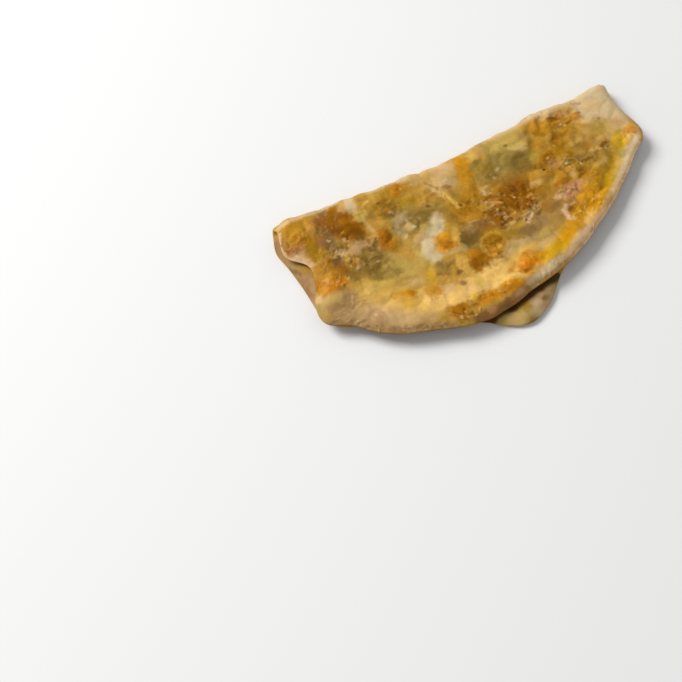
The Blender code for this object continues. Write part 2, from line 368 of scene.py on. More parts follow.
# The top flap, seen from above: wide zones first, then patches, spots and streaks
TOP_MARKS: tuple[Mark, ...] = (
    # Wide zones
    Patch(-79, 9, 11, 10, 0, Tint.GOLD, 0.75, 0.8),
    Patch(-67, 11, 8, 13, 0, Tint.BROWN_MAUVE, 0.75, 0.7),
    Patch(-57, 14, 8, 12, 0, Tint.BROWN_GOLD, 0.85, 0.5),
    Patch(-55.5, 5, 3, 2.5, 0, Tint.PALE_GOLD, 0.5, 0.8),
    Patch(-46, 10, 7, 12, 0, Tint.GOLDEN_TAN, 0.8, 0.8),
    Patch(-33, 12, 13, 8, 0, Tint.GOLDEN_OLIVE, 0.7, 0.8),
    Patch(-19, 15, 8, 10, 0, Tint.GOLDEN_TAN, 0.8, 0.8),
    Patch(-28, 26, 14, 8, 4, Tint.GREY_OLIVE, 0.75, 0.7),
    Patch(-28, 26, 9, 3.5, 6, Tint.OLIVE, 0.4, 0.8),
    Patch(-77, 21, 6.5, 9, 0, Tint.GOLD_BROWN, 0.85, 0.7),
    Patch(-77, 34, 7, 5, 0, Tint.GOLD, 0.8, 0.7),
    Patch(-55, 36, 12, 10, 0, Tint.OLIVE, 0.7, 0.8),
    Patch(-44, 43, 9, 12, 10, Tint.GREENISH_CREAM, 0.6, 0.8),
    Patch(-80, 50, 16, 9, 16, Tint.MAUVE_BEIGE, 0.9, 0.7),
    Patch(-57, 49, 13, 7, 10, Tint.PALE_GOLD, 0.55, 0.8),
    Patch(-60, 63, 16, 7, 28, Tint.CREAM, 0.8, 0.7),
    Patch(-39, 64.5, 9, 6.5, 10, Tint.LIGHT_GOLD, 0.8, 0.7),
    Patch(-52, 61, 8, 5, 20, Tint.PALE_GOLD, 0.5, 0.8),
    Patch(-14, 66.5, 19, 6, 2, Tint.LIGHT_GOLD, 0.9, 0.6),
    Patch(-9, 9, 9, 8, 0, Tint.CREAM, 0.8, 0.6),
    Patch(13, 15, 12, 10, 0, Tint.GREY_OLIVE, 0.8, 0.7),
    Patch(25, 20, 13, 9, 0, Tint.GREY_OLIVE, 0.85, 0.6),
    Patch(33, 8, 9, 6, 0, Tint.GREENISH_CREAM, 0.75, 0.7),
    Patch(50, 16, 13, 15, 0, Tint.GOLD_BROWN, 0.85, 0.6),
    Patch(43.5, 18, 4, 5, 0, Tint.GOLDEN_TAN, 0.6, 0.8),
    Patch(51.5, 11, 4, 3, 0, Tint.GOLD, 0.6, 0.8),
    Patch(-1, 32, 14, 9, 0, Tint.GOLD_BROWN, 0.8, 0.8),
    Patch(17, 36, 13, 10, 0, Tint.BROWN_GOLD, 0.8, 0.6),
    Patch(38, 32, 12, 10, 0, Tint.GOLD_BROWN, 0.7, 0.8),
    Patch(60, 33, 14, 10, 0, Tint.GOLDEN_OLIVE, 0.75, 0.7),
    Patch(80, 10, 14, 16, 0, Tint.BUFF, 0.8, 0.4),
    Patch(76, 9, 5, 4, 0, Tint.CREAM, 0.6, 0.8),
    Patch(80, 25, 10, 5, 0, Tint.CREAM, 0.6, 0.8),
    Patch(68, 22, 11, 7, 5, Tint.GOLDEN_TAN, 0.8, 0.7),
    Patch(24, 53, 18, 9, -8, Tint.OLIVE_BEIGE, 0.85, 0.6),
    Patch(53, 50, 14, 8, -30, Tint.BRIGHT_GOLD, 0.8, 0.5),
    Patch(63, 43, 9, 7, -40, Tint.GOLDEN_OLIVE, 0.7, 0.7),
    Patch(-28, 55, 11, 9, 0, Tint.GOLDEN_TAN, 0.6, 0.8),
    Patch(-8, 54, 11, 7, 0, Tint.BROWN_GOLD, 0.6, 0.6),
    Patch(6, 52, 6, 8, 0, Tint.GOLDEN_OLIVE, 0.5, 0.8),
    Patch(20, 68, 15, 4.6, -13, Tint.YELLOW, 0.9, 0.5),
    Patch(7, 62, 9, 3, -6, Tint.PALE_GOLD, 0.8, 0.8),
    Patch(37, 61, 12, 5, -22, Tint.BRIGHT_GOLD, 0.8, 0.6),
    # Left end, by the fold
    Patch(-76, 3.5, 6, 2.5, 0, Tint.GOLD, 0.7, 0.7),
    Patch(-84, 9, 4, 5, 0, Tint.GOLD_BROWN, 0.5, 0.7),
    Patch(-85, 14, 4, 3, 20, Tint.BROWN_GOLD, 0.6, 0.7),
    Patch(-88.2, 9, 2.2, 5.8, 0, Tint.BROWN_MAUVE, 0.65, 0.8),
    Patch(-83, 16.5, 4.4, 2.6, 25, Tint.PINK_TAN, 0.65, 0.8),
    Patch(-87, 13, 1.8, 1.5, 0, Tint.BROWN, 0.5, 0.7),
    Patch(-84, 16, 3, 1.3, 20, Tint.BROWN_MAUVE, 0.6, 0.7),
    Patch(-79, 12.4, 3, 1.6, -8, Tint.BROWN, 0.85, 0.6),
    Patch(-80, 9, 2.5, 1.2, 0, Tint.BROWN_GOLD, 0.5, 0.7),
    Patch(-85, 20, 5, 2.6, 40, Tint.PEACH_CREAM, 0.95, 0.6),
    Patch(-81.5, 23.5, 3, 2, 40, Tint.PEACH_CREAM, 0.7, 0.6),
    Patch(-83.5, 33, 3.5, 3.5, 0, Tint.BROWN_GOLD, 0.9, 0.7),
    Patch(-76, 27.5, 5, 3.5, 0, Tint.BROWN_GOLD, 0.7, 0.7),
    Patch(-82, 18, 2, 1.5, 0, Tint.PEACH_CREAM, 0.5, 0.7),
    # The pale line along the lip at the left end: partly the lip's pale raw edge, partly a painted
    # highlight on its rounded edge
    Streak(-86.3, 3.2, -88.3, 7, 0.7, Tint.PEACH_CREAM, 0.75),
    Streak(-88.3, 7, -89.6, 11, 0.7, Tint.PEACH_CREAM, 0.8),
    Streak(-89, 10, -88.5, 18, 0.9, Tint.PEACH_CREAM, 0.8),
    Streak(-88.5, 18, -84, 25, 1.0, Tint.CREAM, 0.9),
    Patch(-83.2, 21, 4.0, 2.8, 38, Tint.PEACH_CREAM, 0.75, 0.7),
    Streak(-84.5, 24.5, -82.3, 26, 0.9, Tint.CREAM, 0.7),
    Patch(-80, 26.5, 2.4, 1.8, 0, Tint.GOLD_BROWN, 0.6, 0.8),
    Patch(-84, 31.8, 2.2, 2.8, 0, Tint.BROWN_GOLD, 0.7, 0.7),
    Patch(-77, 20, 4, 5, 0, Tint.GOLDEN_OLIVE, 0.6, 0.8),
    Patch(-72.5, 17, 1.8, 2, 0, Tint.RED_MAUVE, 0.7, 0.6),
    Patch(-74, 22, 2.5, 3, 0, Tint.GOLDEN_OLIVE, 0.6, 0.8),
    Patch(-69, 3.5, 2, 2, 0, Tint.DOUGH, 0.5, 0.8),
    Patch(-66.5, 8.5, 4.5, 3.5, 0, Tint.BROWN, 0.7, 0.8),
    Patch(-65, 8, 2.5, 2, 0, Tint.DARK_BROWN, 0.45, 0.8),
    Patch(-70, 11, 2.8, 1.3, 0, Tint.OLIVE_SHADE, 0.75, 0.7),
    Patch(-73, 10, 2, 1.2, 0, Tint.GREENISH_CREAM, 0.4, 0.8),
    Patch(-68, 19, 4, 5, 0, Tint.GREY_MAUVE, 0.6, 0.8),
    # Painted glint: a small pale dot
    Patch(-68.5, 17.5, 1.2, 0.6, 10, Tint.CREAM, 0.75, 0.6),
    Patch(-65.5, 20, 1.8, 3.5, 0, Tint.GREY_OLIVE, 0.5, 0.8),
    Patch(-60, 8.5, 6.5, 6.5, 25, Tint.BROWN_GOLD, 0.9, 0.4),
    Patch(-60.8, 11, 5.2, 5.2, 0, Tint.BROWN, 0.9, 0.6),
    Patch(-67.8, 6.5, 2.6, 3.2, 0, Tint.RED_MAUVE, 0.5, 0.8),
    Patch(-72.5, 7.5, 2.2, 2.2, 0, Tint.AMBER, 0.5, 0.8),
    Patch(-55.5, 5.6, 2.2, 2.4, 0, Tint.CREAM, 0.6, 0.8),
    Patch(-57, 18.5, 6.0, 4.8, 0, Tint.BROWN, 0.98, 0.4),
    Patch(-55.5, 19.5, 3.5, 2.8, 0, Tint.DARK_BROWN, 0.35, 0.8),
    Patch(-58.2, 11.5, 2.2, 1.6, 0, Tint.BROWN_GOLD, 0.7, 0.7),
    Patch(-62.5, 15, 2.0, 2.2, 30, Tint.SHADE, 0.35, 0.8),
    # Painted glints: small pale dots in the speckled patch
    Patch(-61.5, 16.8, 1.4, 0.5, -30, Tint.AMBER, 0.6, 0.8),
    Patch(-62, 20, 1.2, 0.7, -30, Tint.CREAM, 0.7, 0.6),
    Patch(-61.5, 21.5, 1.6, 0.6, 0, Tint.CREAM, 0.6, 0.6),
    Patch(-55, 23, 4, 1.5, -10, Tint.OLIVE, 0.6, 0.8),
    Patch(-51.5, 5.0, 2.8, 4.8, 0, Tint.BUFF, 0.75, 0.8),
    Patch(-50, 13, 3, 3, 0, Tint.GREENISH_CREAM, 0.7, 0.7),
    Patch(-50.5, 11.8, 1.8, 0.8, 0, Tint.GREY_OLIVE, 0.6, 0.8),
    Patch(-45.5, 8, 2.4, 0.7, -25, Tint.PALE_GOLD, 0.5, 0.7),
    Patch(-45.5, 14.5, 2.2, 1.8, 0, Tint.OLIVE, 0.6, 0.8),
    Patch(-49, 20, 3, 3, 0, Tint.GOLDEN_TAN, 0.7, 0.8),
    Streak(-49.8, 15.5, -48.3, 22, 0.9, Tint.CREAM, 0.5, 0.8),
    # Left end, lower down
    Patch(-66.5, 25.7, 2.6, 1.8, 0, Tint.CREAM, 0.75, 0.9),
    Patch(-63, 24.8, 1.4, 0.8, 0, Tint.SHADE, 0.75, 0.6),
    Patch(-58.5, 26.5, 5, 2.6, 0, Tint.PINK_CREAM, 0.75, 0.9),
    Patch(-53, 25.5, 1.5, 1, -40, Tint.SHADE, 0.5, 0.7),
    Patch(-51, 28, 2.5, 1.5, 0, Tint.BROWN_MAUVE, 0.8, 0.7),
    Patch(-49.5, 26.8, 0.9, 0.7, 0, Tint.SHADE, 0.7, 0.6),
    Patch(-51.5, 29, 0.8, 0.7, 0, Tint.SHADE, 0.6, 0.6),
    Patch(-69.5, 29, 2.8, 3, 0, Tint.GREY_MAUVE, 0.85, 0.6),
    Patch(-68.5, 27.3, 1.8, 1.2, 0, Tint.GREY_MAUVE, 0.6, 0.6),
    Patch(-72.8, 26.8, 0.9, 0.9, 0, Tint.DARK_BROWN, 0.6, 0.6),
    Patch(-63, 32, 3.5, 3.6, 0, Tint.GOLDEN_TAN, 0.85, 0.5),
    Ring(-63, 32, 2.2, 0.8, Tint.BROWN_GOLD, 0.7),
    # Painted glints round the ring's edge
    Patch(-64.3, 29.8, 0.7, 0.6, 0, Tint.CREAM, 0.9, 0.5),
    Patch(-61, 31.2, 0.8, 0.6, 0, Tint.CREAM, 0.8, 0.5),
    Patch(-62.5, 35.3, 1.3, 0.6, 0, Tint.PEACH_CREAM, 0.9, 0.5),
    Patch(-65.5, 33.5, 0.6, 0.9, 0, Tint.CREAM, 0.6, 0.5),
    Patch(-62.5, 33.3, 1.1, 0.8, 0, Tint.BROWN, 0.6, 0.6),
    Patch(-55.5, 33, 5.5, 6, 0, Tint.OLIVE, 0.85, 0.6),
    Patch(-56.3, 32.5, 1.3, 1.3, 0, Tint.OLIVE_SHADE, 0.5, 0.7),
    Patch(-59.8, 35.2, 2.2, 1.8, 0, Tint.OLIVE_BEIGE, 0.65, 0.8),
    Patch(-49.5, 32.5, 2.4, 2.2, 0, Tint.BROWN_MAUVE, 0.7, 0.6),
    Patch(-49.5, 31, 0.6, 0.5, 0, Tint.CREAM, 0.7, 0.5),
    Patch(-44.8, 29, 3.4, 7, -4, Tint.BROWN_GOLD, 0.98, 0.4),
    Patch(-45.6, 27.5, 2.0, 3.4, -4, Tint.ORANGE_GOLD, 0.5, 0.8),
    Patch(-45.2, 26, 1.9, 3.6, 0, Tint.BROWN, 0.5, 0.7),
    Patch(-42, 34, 3, 3, 20, Tint.GOLD_BROWN, 0.6, 0.8),
    Patch(-69.5, 33, 3.6, 4, 30, Tint.BROWN, 0.8, 0.7),
    Patch(-66, 38, 4, 3.5, 0, Tint.OLIVE, 0.75, 0.7),
    Patch(-56.5, 38.5, 5, 4.5, 0, Tint.OLIVE, 0.8, 0.7),
    # Painted glint: a small pale dot
    Patch(-53.5, 36.6, 1.1, 0.5, 10, Tint.CREAM, 0.75, 0.5),
    Patch(-58, 33.8, 2, 0.9, 0, Tint.OLIVE_SHADE, 0.4, 0.8),
    Patch(-77, 38, 6, 3.8, 6, Tint.ORANGE_GOLD, 0.9, 0.5),
    Patch(-77.5, 34.5, 2.2, 1.5, 0, Tint.AMBER, 0.6, 0.7),
    Patch(-82, 38.5, 2.6, 2, 0, Tint.BRIGHT_GOLD, 0.6, 0.7),
    Patch(-73.5, 39.3, 3.2, 1.8, 10, Tint.ORANGE_GOLD, 0.8, 0.6),
    Patch(-72.5, 36.5, 1.6, 1.8, 0, Tint.BROWN_GOLD, 0.6, 0.7),
    # Painted glint: a small pale gold dot
    Patch(-69.4, 38.2, 0.8, 1.0, 0, Tint.PALE_GOLD, 0.8, 0.5),
    Patch(-85.5, 41, 2.5, 2.0, 0, Tint.PEACH_CREAM, 0.7, 0.6),
    Patch(-84.3, 33.8, 2.6, 3.8, 0, Tint.BROWN_GOLD, 0.85, 0.8),
    Patch(-87, 46, 3, 5, 0, Tint.GREENISH_CREAM, 0.6, 0.7),
    Patch(-86, 49, 3, 3, 0, Tint.OLIVE_BEIGE, 0.6, 0.8),
    Patch(-88, 44.2, 2.2, 2.6, 0, Tint.GREY_OLIVE, 0.5, 0.8),
    Patch(-80, 44, 5, 2.5, 10, Tint.GREENISH_CREAM, 0.55, 0.8),
    Patch(-74, 47, 4, 3, 20, Tint.MAUVE_BEIGE, 0.5, 0.8),
    Streak(-73.8, 50.5, -71.6, 46.5, 0.5, Tint.CREAM, 0.6),
    Patch(-76, 58, 7, 3, 35, Tint.OLIVE_BEIGE, 0.5, 0.8),
    Patch(-68.5, 60, 6, 3.6, 33, Tint.MAUVE_BEIGE, 0.75, 0.8),
    Patch(-62, 47.5, 5, 3, 0, Tint.GREENISH_CREAM, 0.5, 0.8),
    Patch(-52, 44.5, 6, 2.6, 8, Tint.GREY_OLIVE, 0.85, 0.6),
    Patch(-57.5, 42.6, 5, 2.2, 5, Tint.OLIVE, 0.7, 0.6),
    Patch(-60, 53, 5, 3.5, 0, Tint.PALE_GOLD, 0.35, 0.8),
    Patch(-47, 50.5, 6, 2.4, 5, Tint.OLIVE_BEIGE, 0.55, 0.8),
    Patch(-58, 57, 2, 1.5, 0, Tint.PALE_GOLD, 0.6, 0.7),
    Patch(-51, 57, 5, 3, 10, Tint.GOLD, 0.6, 0.8),
    Patch(-48.8, 56.8, 3.1, 2.0, 12, Tint.ORANGE_GOLD, 0.9, 0.6),
    Patch(-48.2, 57, 1.7, 1.2, 12, Tint.BROWN_GOLD, 0.5, 0.8),
    Patch(-51, 61.5, 4, 2.2, 15, Tint.YELLOW, 0.4, 0.8),
    Patch(-66.4, 59, 0.9, 0.6, 0, Tint.PEACH_CREAM, 0.9, 0.5),
    Patch(-65, 60, 0.5, 0.5, 0, Tint.GREY_OLIVE, 0.6, 0.6),
    Patch(-58, 67, 1.4, 0.7, 20, Tint.PEACH_CREAM, 0.7, 0.6),
    Patch(-66, 64, 4, 1.8, 30, Tint.OLIVE_BEIGE, 0.4, 0.8),
    Patch(-47, 67.5, 4.5, 3.2, 10, Tint.PALE_GOLD, 0.6, 0.8),
    # Middle, from the fold to the front
    Patch(-29.5, 3.8, 1.7, 1.3, 0, Tint.OLIVE_SHADE, 0.7, 0.6),
    Patch(-28.3, 7.4, 4.2, 3.8, 0, Tint.ORANGE_GOLD, 0.85, 0.5),
    Patch(-28.6, 7, 2.3, 2.2, 0, Tint.BROWN_GOLD, 0.8, 0.7),
    Patch(-27.2, 8.6, 0.7, 0.5, 0, Tint.PALE_GOLD, 0.8, 0.5),
    Patch(-24.5, 6.5, 2.2, 2, 0, Tint.GOLDEN_TAN, 0.6, 0.7),
    Patch(-23.6, 4.4, 3, 2.2, 0, Tint.BUFF, 0.6, 0.8),
    Patch(-20, 8, 3, 2.6, 0, Tint.CREAM, 0.45, 0.9),
    Patch(-40, 8, 3, 2.4, 0, Tint.PALE_GOLD, 0.4, 0.9),
    Patch(-38, 13, 4, 5, 20, Tint.BROWN_GOLD, 0.6, 0.8),
    Ring(-36.8, 16, 3.2, 1.2, Tint.OLIVE, 0.75),
    Patch(-36.7, 17.4, 1.1, 1.0, 0, Tint.CREAM, 0.65, 0.7),
    Patch(-35.6, 16, 0.5, 0.5, 0, Tint.OLIVE_SHADE, 0.7, 0.6),
    Patch(-27, 15, 6, 2.5, 5, Tint.GOLDEN_OLIVE, 0.7, 0.8),
    Patch(-27, 12.5, 3, 1.5, 10, Tint.GOLDEN_TAN, 0.6, 0.8),
    Patch(-18, 14, 4, 4, 0, Tint.GOLDEN_TAN, 0.6, 0.8),
    Patch(-14.5, 18.5, 3.5, 3.5, 30, Tint.GOLD_BROWN, 0.4, 0.8),
    Patch(-34.5, 21.5, 4, 2.5, 0, Tint.MAUVE_CREAM, 0.75, 0.6),
    Patch(-39.3, 25.5, 1.0, 1.0, 0, Tint.SHADE, 0.75, 0.6),
    Patch(-37.5, 28, 2.2, 4, 0, Tint.MAUVE_CREAM, 0.7, 0.6),
    Patch(-26, 25, 6, 2.2, 8, Tint.OLIVE, 0.45, 0.7),
    Patch(-25, 27, 4.5, 1.6, 0, Tint.OLIVE_SHADE, 0.35, 0.8),
    Patch(-20, 22, 1.2, 0.8, 40, Tint.SHADE, 0.6, 0.6),
    Patch(-33, 27.5, 2.3, 1.8, 20, Tint.CREAM, 0.65, 0.7),
    Patch(-30.8, 28.5, 0.9, 0.8, 0, Tint.WHITE_CREAM, 0.8, 0.5),
    Patch(-28, 31.5, 2.5, 2.5, 0, Tint.GREENISH_CREAM, 0.5, 0.7),
    Patch(-36.5, 31.5, 1.5, 0.8, -50, Tint.CREAM, 0.7, 0.6),
    Patch(-29.5, 30, 0.7, 1.4, 20, Tint.OLIVE_SHADE, 0.4, 0.7),
    Streak(-18.8, 29, -21.8, 33, 2.1, Tint.BUFF, 0.7, 0.6),
    Streak(-20.5, 31.5, -26, 36.5, 2.9, Tint.WHITE_CREAM, 0.85, 0.6),
    Streak(-25, 36, -30, 41, 3.0, Tint.WHITE_CREAM, 0.7, 0.8),
    Patch(-15, 30, 3, 3.5, 0, Tint.OLIVE, 0.4, 0.8),
    Patch(-29.8, 42.5, 4.0, 7.8, 14, Tint.WHITE_CREAM, 0.9, 0.4),
    Patch(-28, 35, 1.8, 3.8, -6, Tint.MAUVE_CREAM, 0.4, 0.8),
    Streak(-23, 34.5, -28, 40, 1.5, Tint.PALE_CREAM_AND_PAINTED_LIGHT, 0.35, 0.8),
    Patch(-32.2, 35, 2.4, 2.2, 0, Tint.CREAM, 0.6, 0.8),
    Patch(-27, 68.5, 4, 2, 0, Tint.LIGHT_GOLD, 0.6, 0.8),
    Patch(-39, 39, 4.5, 3.2, 0, Tint.AMBER, 0.4, 0.8),
    Streak(-35.3, 38, -34.8, 46, 1.6, Tint.GREENISH_CREAM, 0.8),
    Streak(-34.8, 46, -31, 50, 1.4, Tint.OLIVE_GOLD, 0.6),
    Patch(-21.6, 42.3, 6.8, 5.2, 22, Tint.AMBER, 0.9, 0.5),
    Patch(-21.8, 43, 4.6, 3.8, 20, Tint.ORANGE_GOLD, 0.65, 0.7),
    Patch(-21, 44, 3.2, 2.4, 20, Tint.BROWN_GOLD, 0.7, 0.7),
    Patch(-22, 39.6, 4, 1.3, 5, Tint.BRIGHT_GOLD, 0.7, 0.6),
    Patch(-21, 47.8, 4, 1.3, 0, Tint.CREAM, 0.6, 0.7),
    Patch(-10.5, 46, 6.3, 5.7, 0, Tint.OLIVE_SHADE, 0.98, 0.35),
    Patch(-10.5, 47, 3.6, 3.2, 0, Tint.SHADE, 0.3, 0.8),
    Patch(-16.5, 41, 1.8, 5, 20, Tint.PALE_GOLD, 0.6, 0.7),
    Patch(-16, 48.5, 1.6, 2.4, 0, Tint.CREAM, 0.6, 0.7),
    Patch(-11, 37.2, 1.3, 1, 0, Tint.BROWN, 0.6, 0.7),
    Patch(-9, 40, 3.5, 2.5, 0, Tint.MAUVE_BEIGE, 0.5, 0.8),
    Patch(-4, 42.8, 3, 2.2, 0, Tint.BROWN_MAUVE, 0.6, 0.7),
    Patch(-7, 46, 2.6, 2.8, 0, Tint.OLIVE_SHADE, 0.75, 0.7),
    Patch(-13, 49.3, 2.6, 2.4, 30, Tint.OLIVE_SHADE, 0.6, 0.7),
    Patch(3, 45, 8, 3.2, 6, Tint.BROWN, 0.7, 0.7),
    Patch(-12, 51, 4.5, 2, 0, Tint.GREY_OLIVE, 0.85, 0.7),
    Patch(3, 33.5, 4, 2.5, 10, Tint.GOLDEN_TAN, 0.7, 0.8),
    Patch(-13.5, 56, 5.2, 4.6, 10, Tint.BROWN_GOLD, 0.95, 0.45),
    Patch(-16.5, 57.5, 2.4, 2.2, 0, Tint.BROWN, 0.6, 0.7),
    Patch(-14, 52.6, 2.8, 1.6, 0, Tint.ORANGE_GOLD, 0.7, 0.7),
    Patch(-3.5, 53, 6, 6.4, 0, Tint.GOLD_BROWN, 0.9, 0.35),
    Patch(-4.8, 54.5, 2.6, 2.4, 0, Tint.AMBER, 0.7, 0.7),
    Ring(-3.5, 53, 4.4, 1.0, Tint.BROWN, 0.3),
    Ring(-3.5, 53, 5.9, 0.6, Tint.PALE_GOLD, 0.3),
    Patch(-1.2, 54.5, 1.0, 1.8, -20, Tint.PALE_GOLD, 0.6, 0.6),
    Patch(-6.5, 57.5, 2.0, 0.8, 20, Tint.AMBER, 0.7, 0.6),
    Patch(-3, 48.2, 3.5, 1.4, 0, Tint.GOLDEN_OLIVE, 0.6, 0.7),
    Patch(-43.5, 53, 3.2, 1.8, 25, Tint.CREAM, 0.5, 0.9),
    Patch(-35.8, 53.5, 2.0, 4.2, 20, Tint.YELLOW, 0.5, 1.0),
    Patch(-29.5, 52, 3.6, 2.6, 20, Tint.GREY_OLIVE, 0.6, 0.6),
    Patch(-30, 50.8, 1.6, 1.3, 0, Tint.BROWN_MAUVE, 0.4, 0.7),
    Streak(-33, 54.5, -28, 56.5, 0.6, Tint.BROWN_MAUVE, 0.6),
    Streak(-27, 53, -23, 51, 0.6, Tint.BROWN_MAUVE, 0.5),
    Patch(-20.5, 55, 2.6, 6, 0, Tint.PALE_GOLD, 0.55, 0.7),
    Patch(-23.7, 57.8, 1.5, 1.2, 0, Tint.BROWN_MAUVE, 0.85, 0.6),
    Patch(-25, 63.3, 1.8, 1.3, 0, Tint.BROWN_MAUVE, 0.75, 0.6),
    Patch(-28, 60, 4, 2.2, 20, Tint.GOLDEN_TAN, 0.7, 0.7),
    Patch(-38.5, 60.3, 3.8, 3.4, 0, Tint.GOLD, 0.85, 0.6),
    Patch(-36.2, 61.6, 1.8, 1.6, 0, Tint.AMBER, 0.8, 0.7),
    Patch(-32, 62.5, 3.0, 2.0, 15, Tint.PINK_CREAM, 0.7, 0.8),
    Patch(-22.5, 67, 3.8, 1.8, -10, Tint.PINK_CREAM, 0.5, 0.9),
    Patch(-35.4, 65.5, 1.2, 1.0, 0, Tint.CREAM, 0.85, 0.6),
    Patch(-18.3, 65.5, 1.8, 3.2, 0, Tint.OLIVE_GOLD, 0.55, 0.7),
    Patch(-6, 60.6, 3.6, 0.9, 4, Tint.LIGHT_GOLD, 0.6, 0.8),
    Patch(4.5, 57.5, 5, 3, -10, Tint.CREAM, 0.7, 0.7),
    Patch(0.3, 59.4, 3, 1.5, 0, Tint.CREAM, 0.6, 0.8),
    Patch(12, 57.5, 5, 2.4, -10, Tint.PINK_GREY, 0.6, 0.7),
    Patch(-14, 8.5, 3.2, 4.5, 0, Tint.GOLDEN_TAN, 0.5, 0.8),
    Patch(-4.5, 7, 3.2, 3.4, 0, Tint.PINK_CREAM, 0.8, 0.7),
    Patch(-5.5, 15.5, 3, 3, 0, Tint.MAUVE_CREAM, 0.6, 0.7),
    Patch(-8, 17.3, 2.4, 1.4, 20, Tint.BROWN_MAUVE, 0.75, 0.6),
    Patch(-7.8, 13.4, 2.2, 0.9, 10, Tint.PEACH_CREAM, 0.6, 0.7),
    Streak(-16, 10.5, -12, 16, 0.6, Tint.BROWN_MAUVE, 0.5),
    Streak(-14.5, 14.5, -11.5, 19.5, 1.0, Tint.CREAM, 0.85),
    Streak(-11.3, 19.5, -7.8, 28.5, 1.1, Tint.PALE_GOLD, 0.85),
    Streak(-10.8, 21, -9.8, 27, 0.6, Tint.SHADE, 0.4),
    Streak(-7.5, 20.5, -5.5, 25, 0.9, Tint.GREY_OLIVE, 0.45),
    Patch(4.8, 7.6, 4.2, 4.6, 0, Tint.BRIGHT_GOLD, 0.9, 0.5),
    Patch(9.5, 6.8, 1.7, 1.0, 20, Tint.PALE_GOLD, 0.6, 0.7),
    Patch(3.2, 14, 3.2, 7, -4, Tint.BRIGHT_GOLD, 0.75, 0.7),
    Patch(1.5, 19, 2.8, 5.5, -10, Tint.GOLD, 0.7, 0.7),
    Patch(0, 24.5, 3.5, 3, 0, Tint.GOLD_BROWN, 0.6, 0.8),
    Patch(-6.5, 28.3, 0.9, 0.8, 0, Tint.SHADE, 0.7, 0.6),
    Patch(-2.5, 29, 1.2, 0.8, 0, Tint.SHADE, 0.65, 0.6),
    Patch(-5, 32.5, 4, 3, 0, Tint.BROWN_GOLD, 0.6, 0.8),
    # Pale crumbs of crust, partly painted glints
    Streak(3, 31, 8, 34, 0.5, Tint.CREAM, 0.65),
    Streak(1, 35.6, 6, 35, 0.5, Tint.PALE_GOLD, 0.6),
    Patch(6.5, 28, 2.4, 1, 20, Tint.CREAM, 0.6, 0.7),
    Patch(5, 38, 5.5, 3, 15, Tint.BROWN, 0.7, 0.6),
    Patch(-1.5, 41, 4, 2, 0, Tint.BROWN_MAUVE, 0.6, 0.8),
    Patch(7, 42.5, 4.5, 3, 10, Tint.BROWN, 0.65, 0.6),
    Patch(12.2, 41.2, 1.8, 1.5, 0, Tint.GOLDEN_TAN, 0.65, 0.8),
    # Pale crumbs of crust, partly painted glints
    Streak(6.5, 40, 9, 41.5, 0.6, Tint.CREAM, 0.85),
    Streak(10, 39, 13, 40.5, 0.5, Tint.PALE_GOLD, 0.7),
    Streak(7, 46.5, 11, 47.2, 0.7, Tint.CREAM, 0.7),
    Streak(11, 43.5, 14, 43, 0.5, Tint.PALE_GOLD, 0.7),
    # Right half, nearer the fold
    Patch(12.5, 8, 4, 3.2, 0, Tint.PALE_GOLD, 0.7, 0.8),
    Patch(15, 7.5, 2, 2, 0, Tint.PINK_TAN, 0.5, 0.8),
    Patch(15.5, 11, 3.5, 1.8, 0, Tint.GOLDEN_TAN, 0.6, 0.8),
    Patch(17, 3.4, 3, 1.3, 0, Tint.GREY_OLIVE, 0.7, 0.7),
    Patch(21, 8, 5, 3, 0, Tint.GREENISH_CREAM, 0.6, 0.8),
    Patch(11, 11.3, 1.2, 1, 0, Tint.OLIVE_SHADE, 0.5, 0.7),
    Patch(12.5, 17, 5, 3.5, 0, Tint.GOLDEN_OLIVE, 0.5, 0.8),
    Patch(18.2, 19.4, 1.3, 0.7, -20, Tint.CREAM, 0.55, 0.7),
    Patch(12, 21.5, 1.6, 1.2, 0, Tint.OLIVE_SHADE, 0.5, 0.7),
    # Painted glint: a small pale dot
    Patch(14.8, 23, 0.8, 0.8, 0, Tint.CREAM, 0.55, 0.7),
    Patch(7, 26, 2.2, 1.8, 0, Tint.CREAM, 0.5, 0.8),
    Patch(32, 12.5, 4.5, 2.4, 12, Tint.GREENISH_CREAM, 0.8, 0.6),
    Patch(33, 15, 3.5, 1.3, 15, Tint.CREAM, 0.45, 0.8),
    Patch(28, 10.3, 1.0, 0.8, 0, Tint.SHADE, 0.55, 0.6),
    Patch(29, 20.5, 5, 3.5, 8, Tint.OLIVE_SHADE, 0.75, 0.6),
    Patch(28, 24.5, 6, 3, 0, Tint.OLIVE, 0.7, 0.7),
    Patch(20, 27.5, 4.5, 2.5, 0, Tint.OLIVE, 0.6, 0.8),
    Streak(40.5, 8.5, 38.5, 14, 1.2, Tint.OLIVE_SHADE, 0.5, 0.9),
    Streak(38.5, 14, 36, 19, 0.9, Tint.OLIVE_SHADE, 0.5, 0.9),
    Patch(37.5, 10, 1.8, 3, 0, Tint.OLIVE_BEIGE, 0.6, 0.8),
    Patch(41.8, 12, 1.3, 1.5, 0, Tint.PALE_GOLD, 0.4, 0.8),
    Patch(37.2, 21.5, 3.6, 3.4, 0, Tint.OLIVE_GOLD, 0.65, 0.8),
    Patch(41, 16.5, 3, 2, 0, Tint.GOLD, 0.5, 0.8),
    Patch(42.5, 24.5, 3.4, 3.2, 0, Tint.BROWN_GOLD, 0.7, 0.6),
    Patch(42.3, 23.6, 1.4, 1.2, 0, Tint.BROWN, 0.6, 0.7),
    Patch(42.3, 25, 0.7, 0.5, 0, Tint.PALE_GOLD, 0.8, 0.5),
    Patch(37.5, 29.5, 0.9, 0.7, 0, Tint.SHADE, 0.95, 0.5),
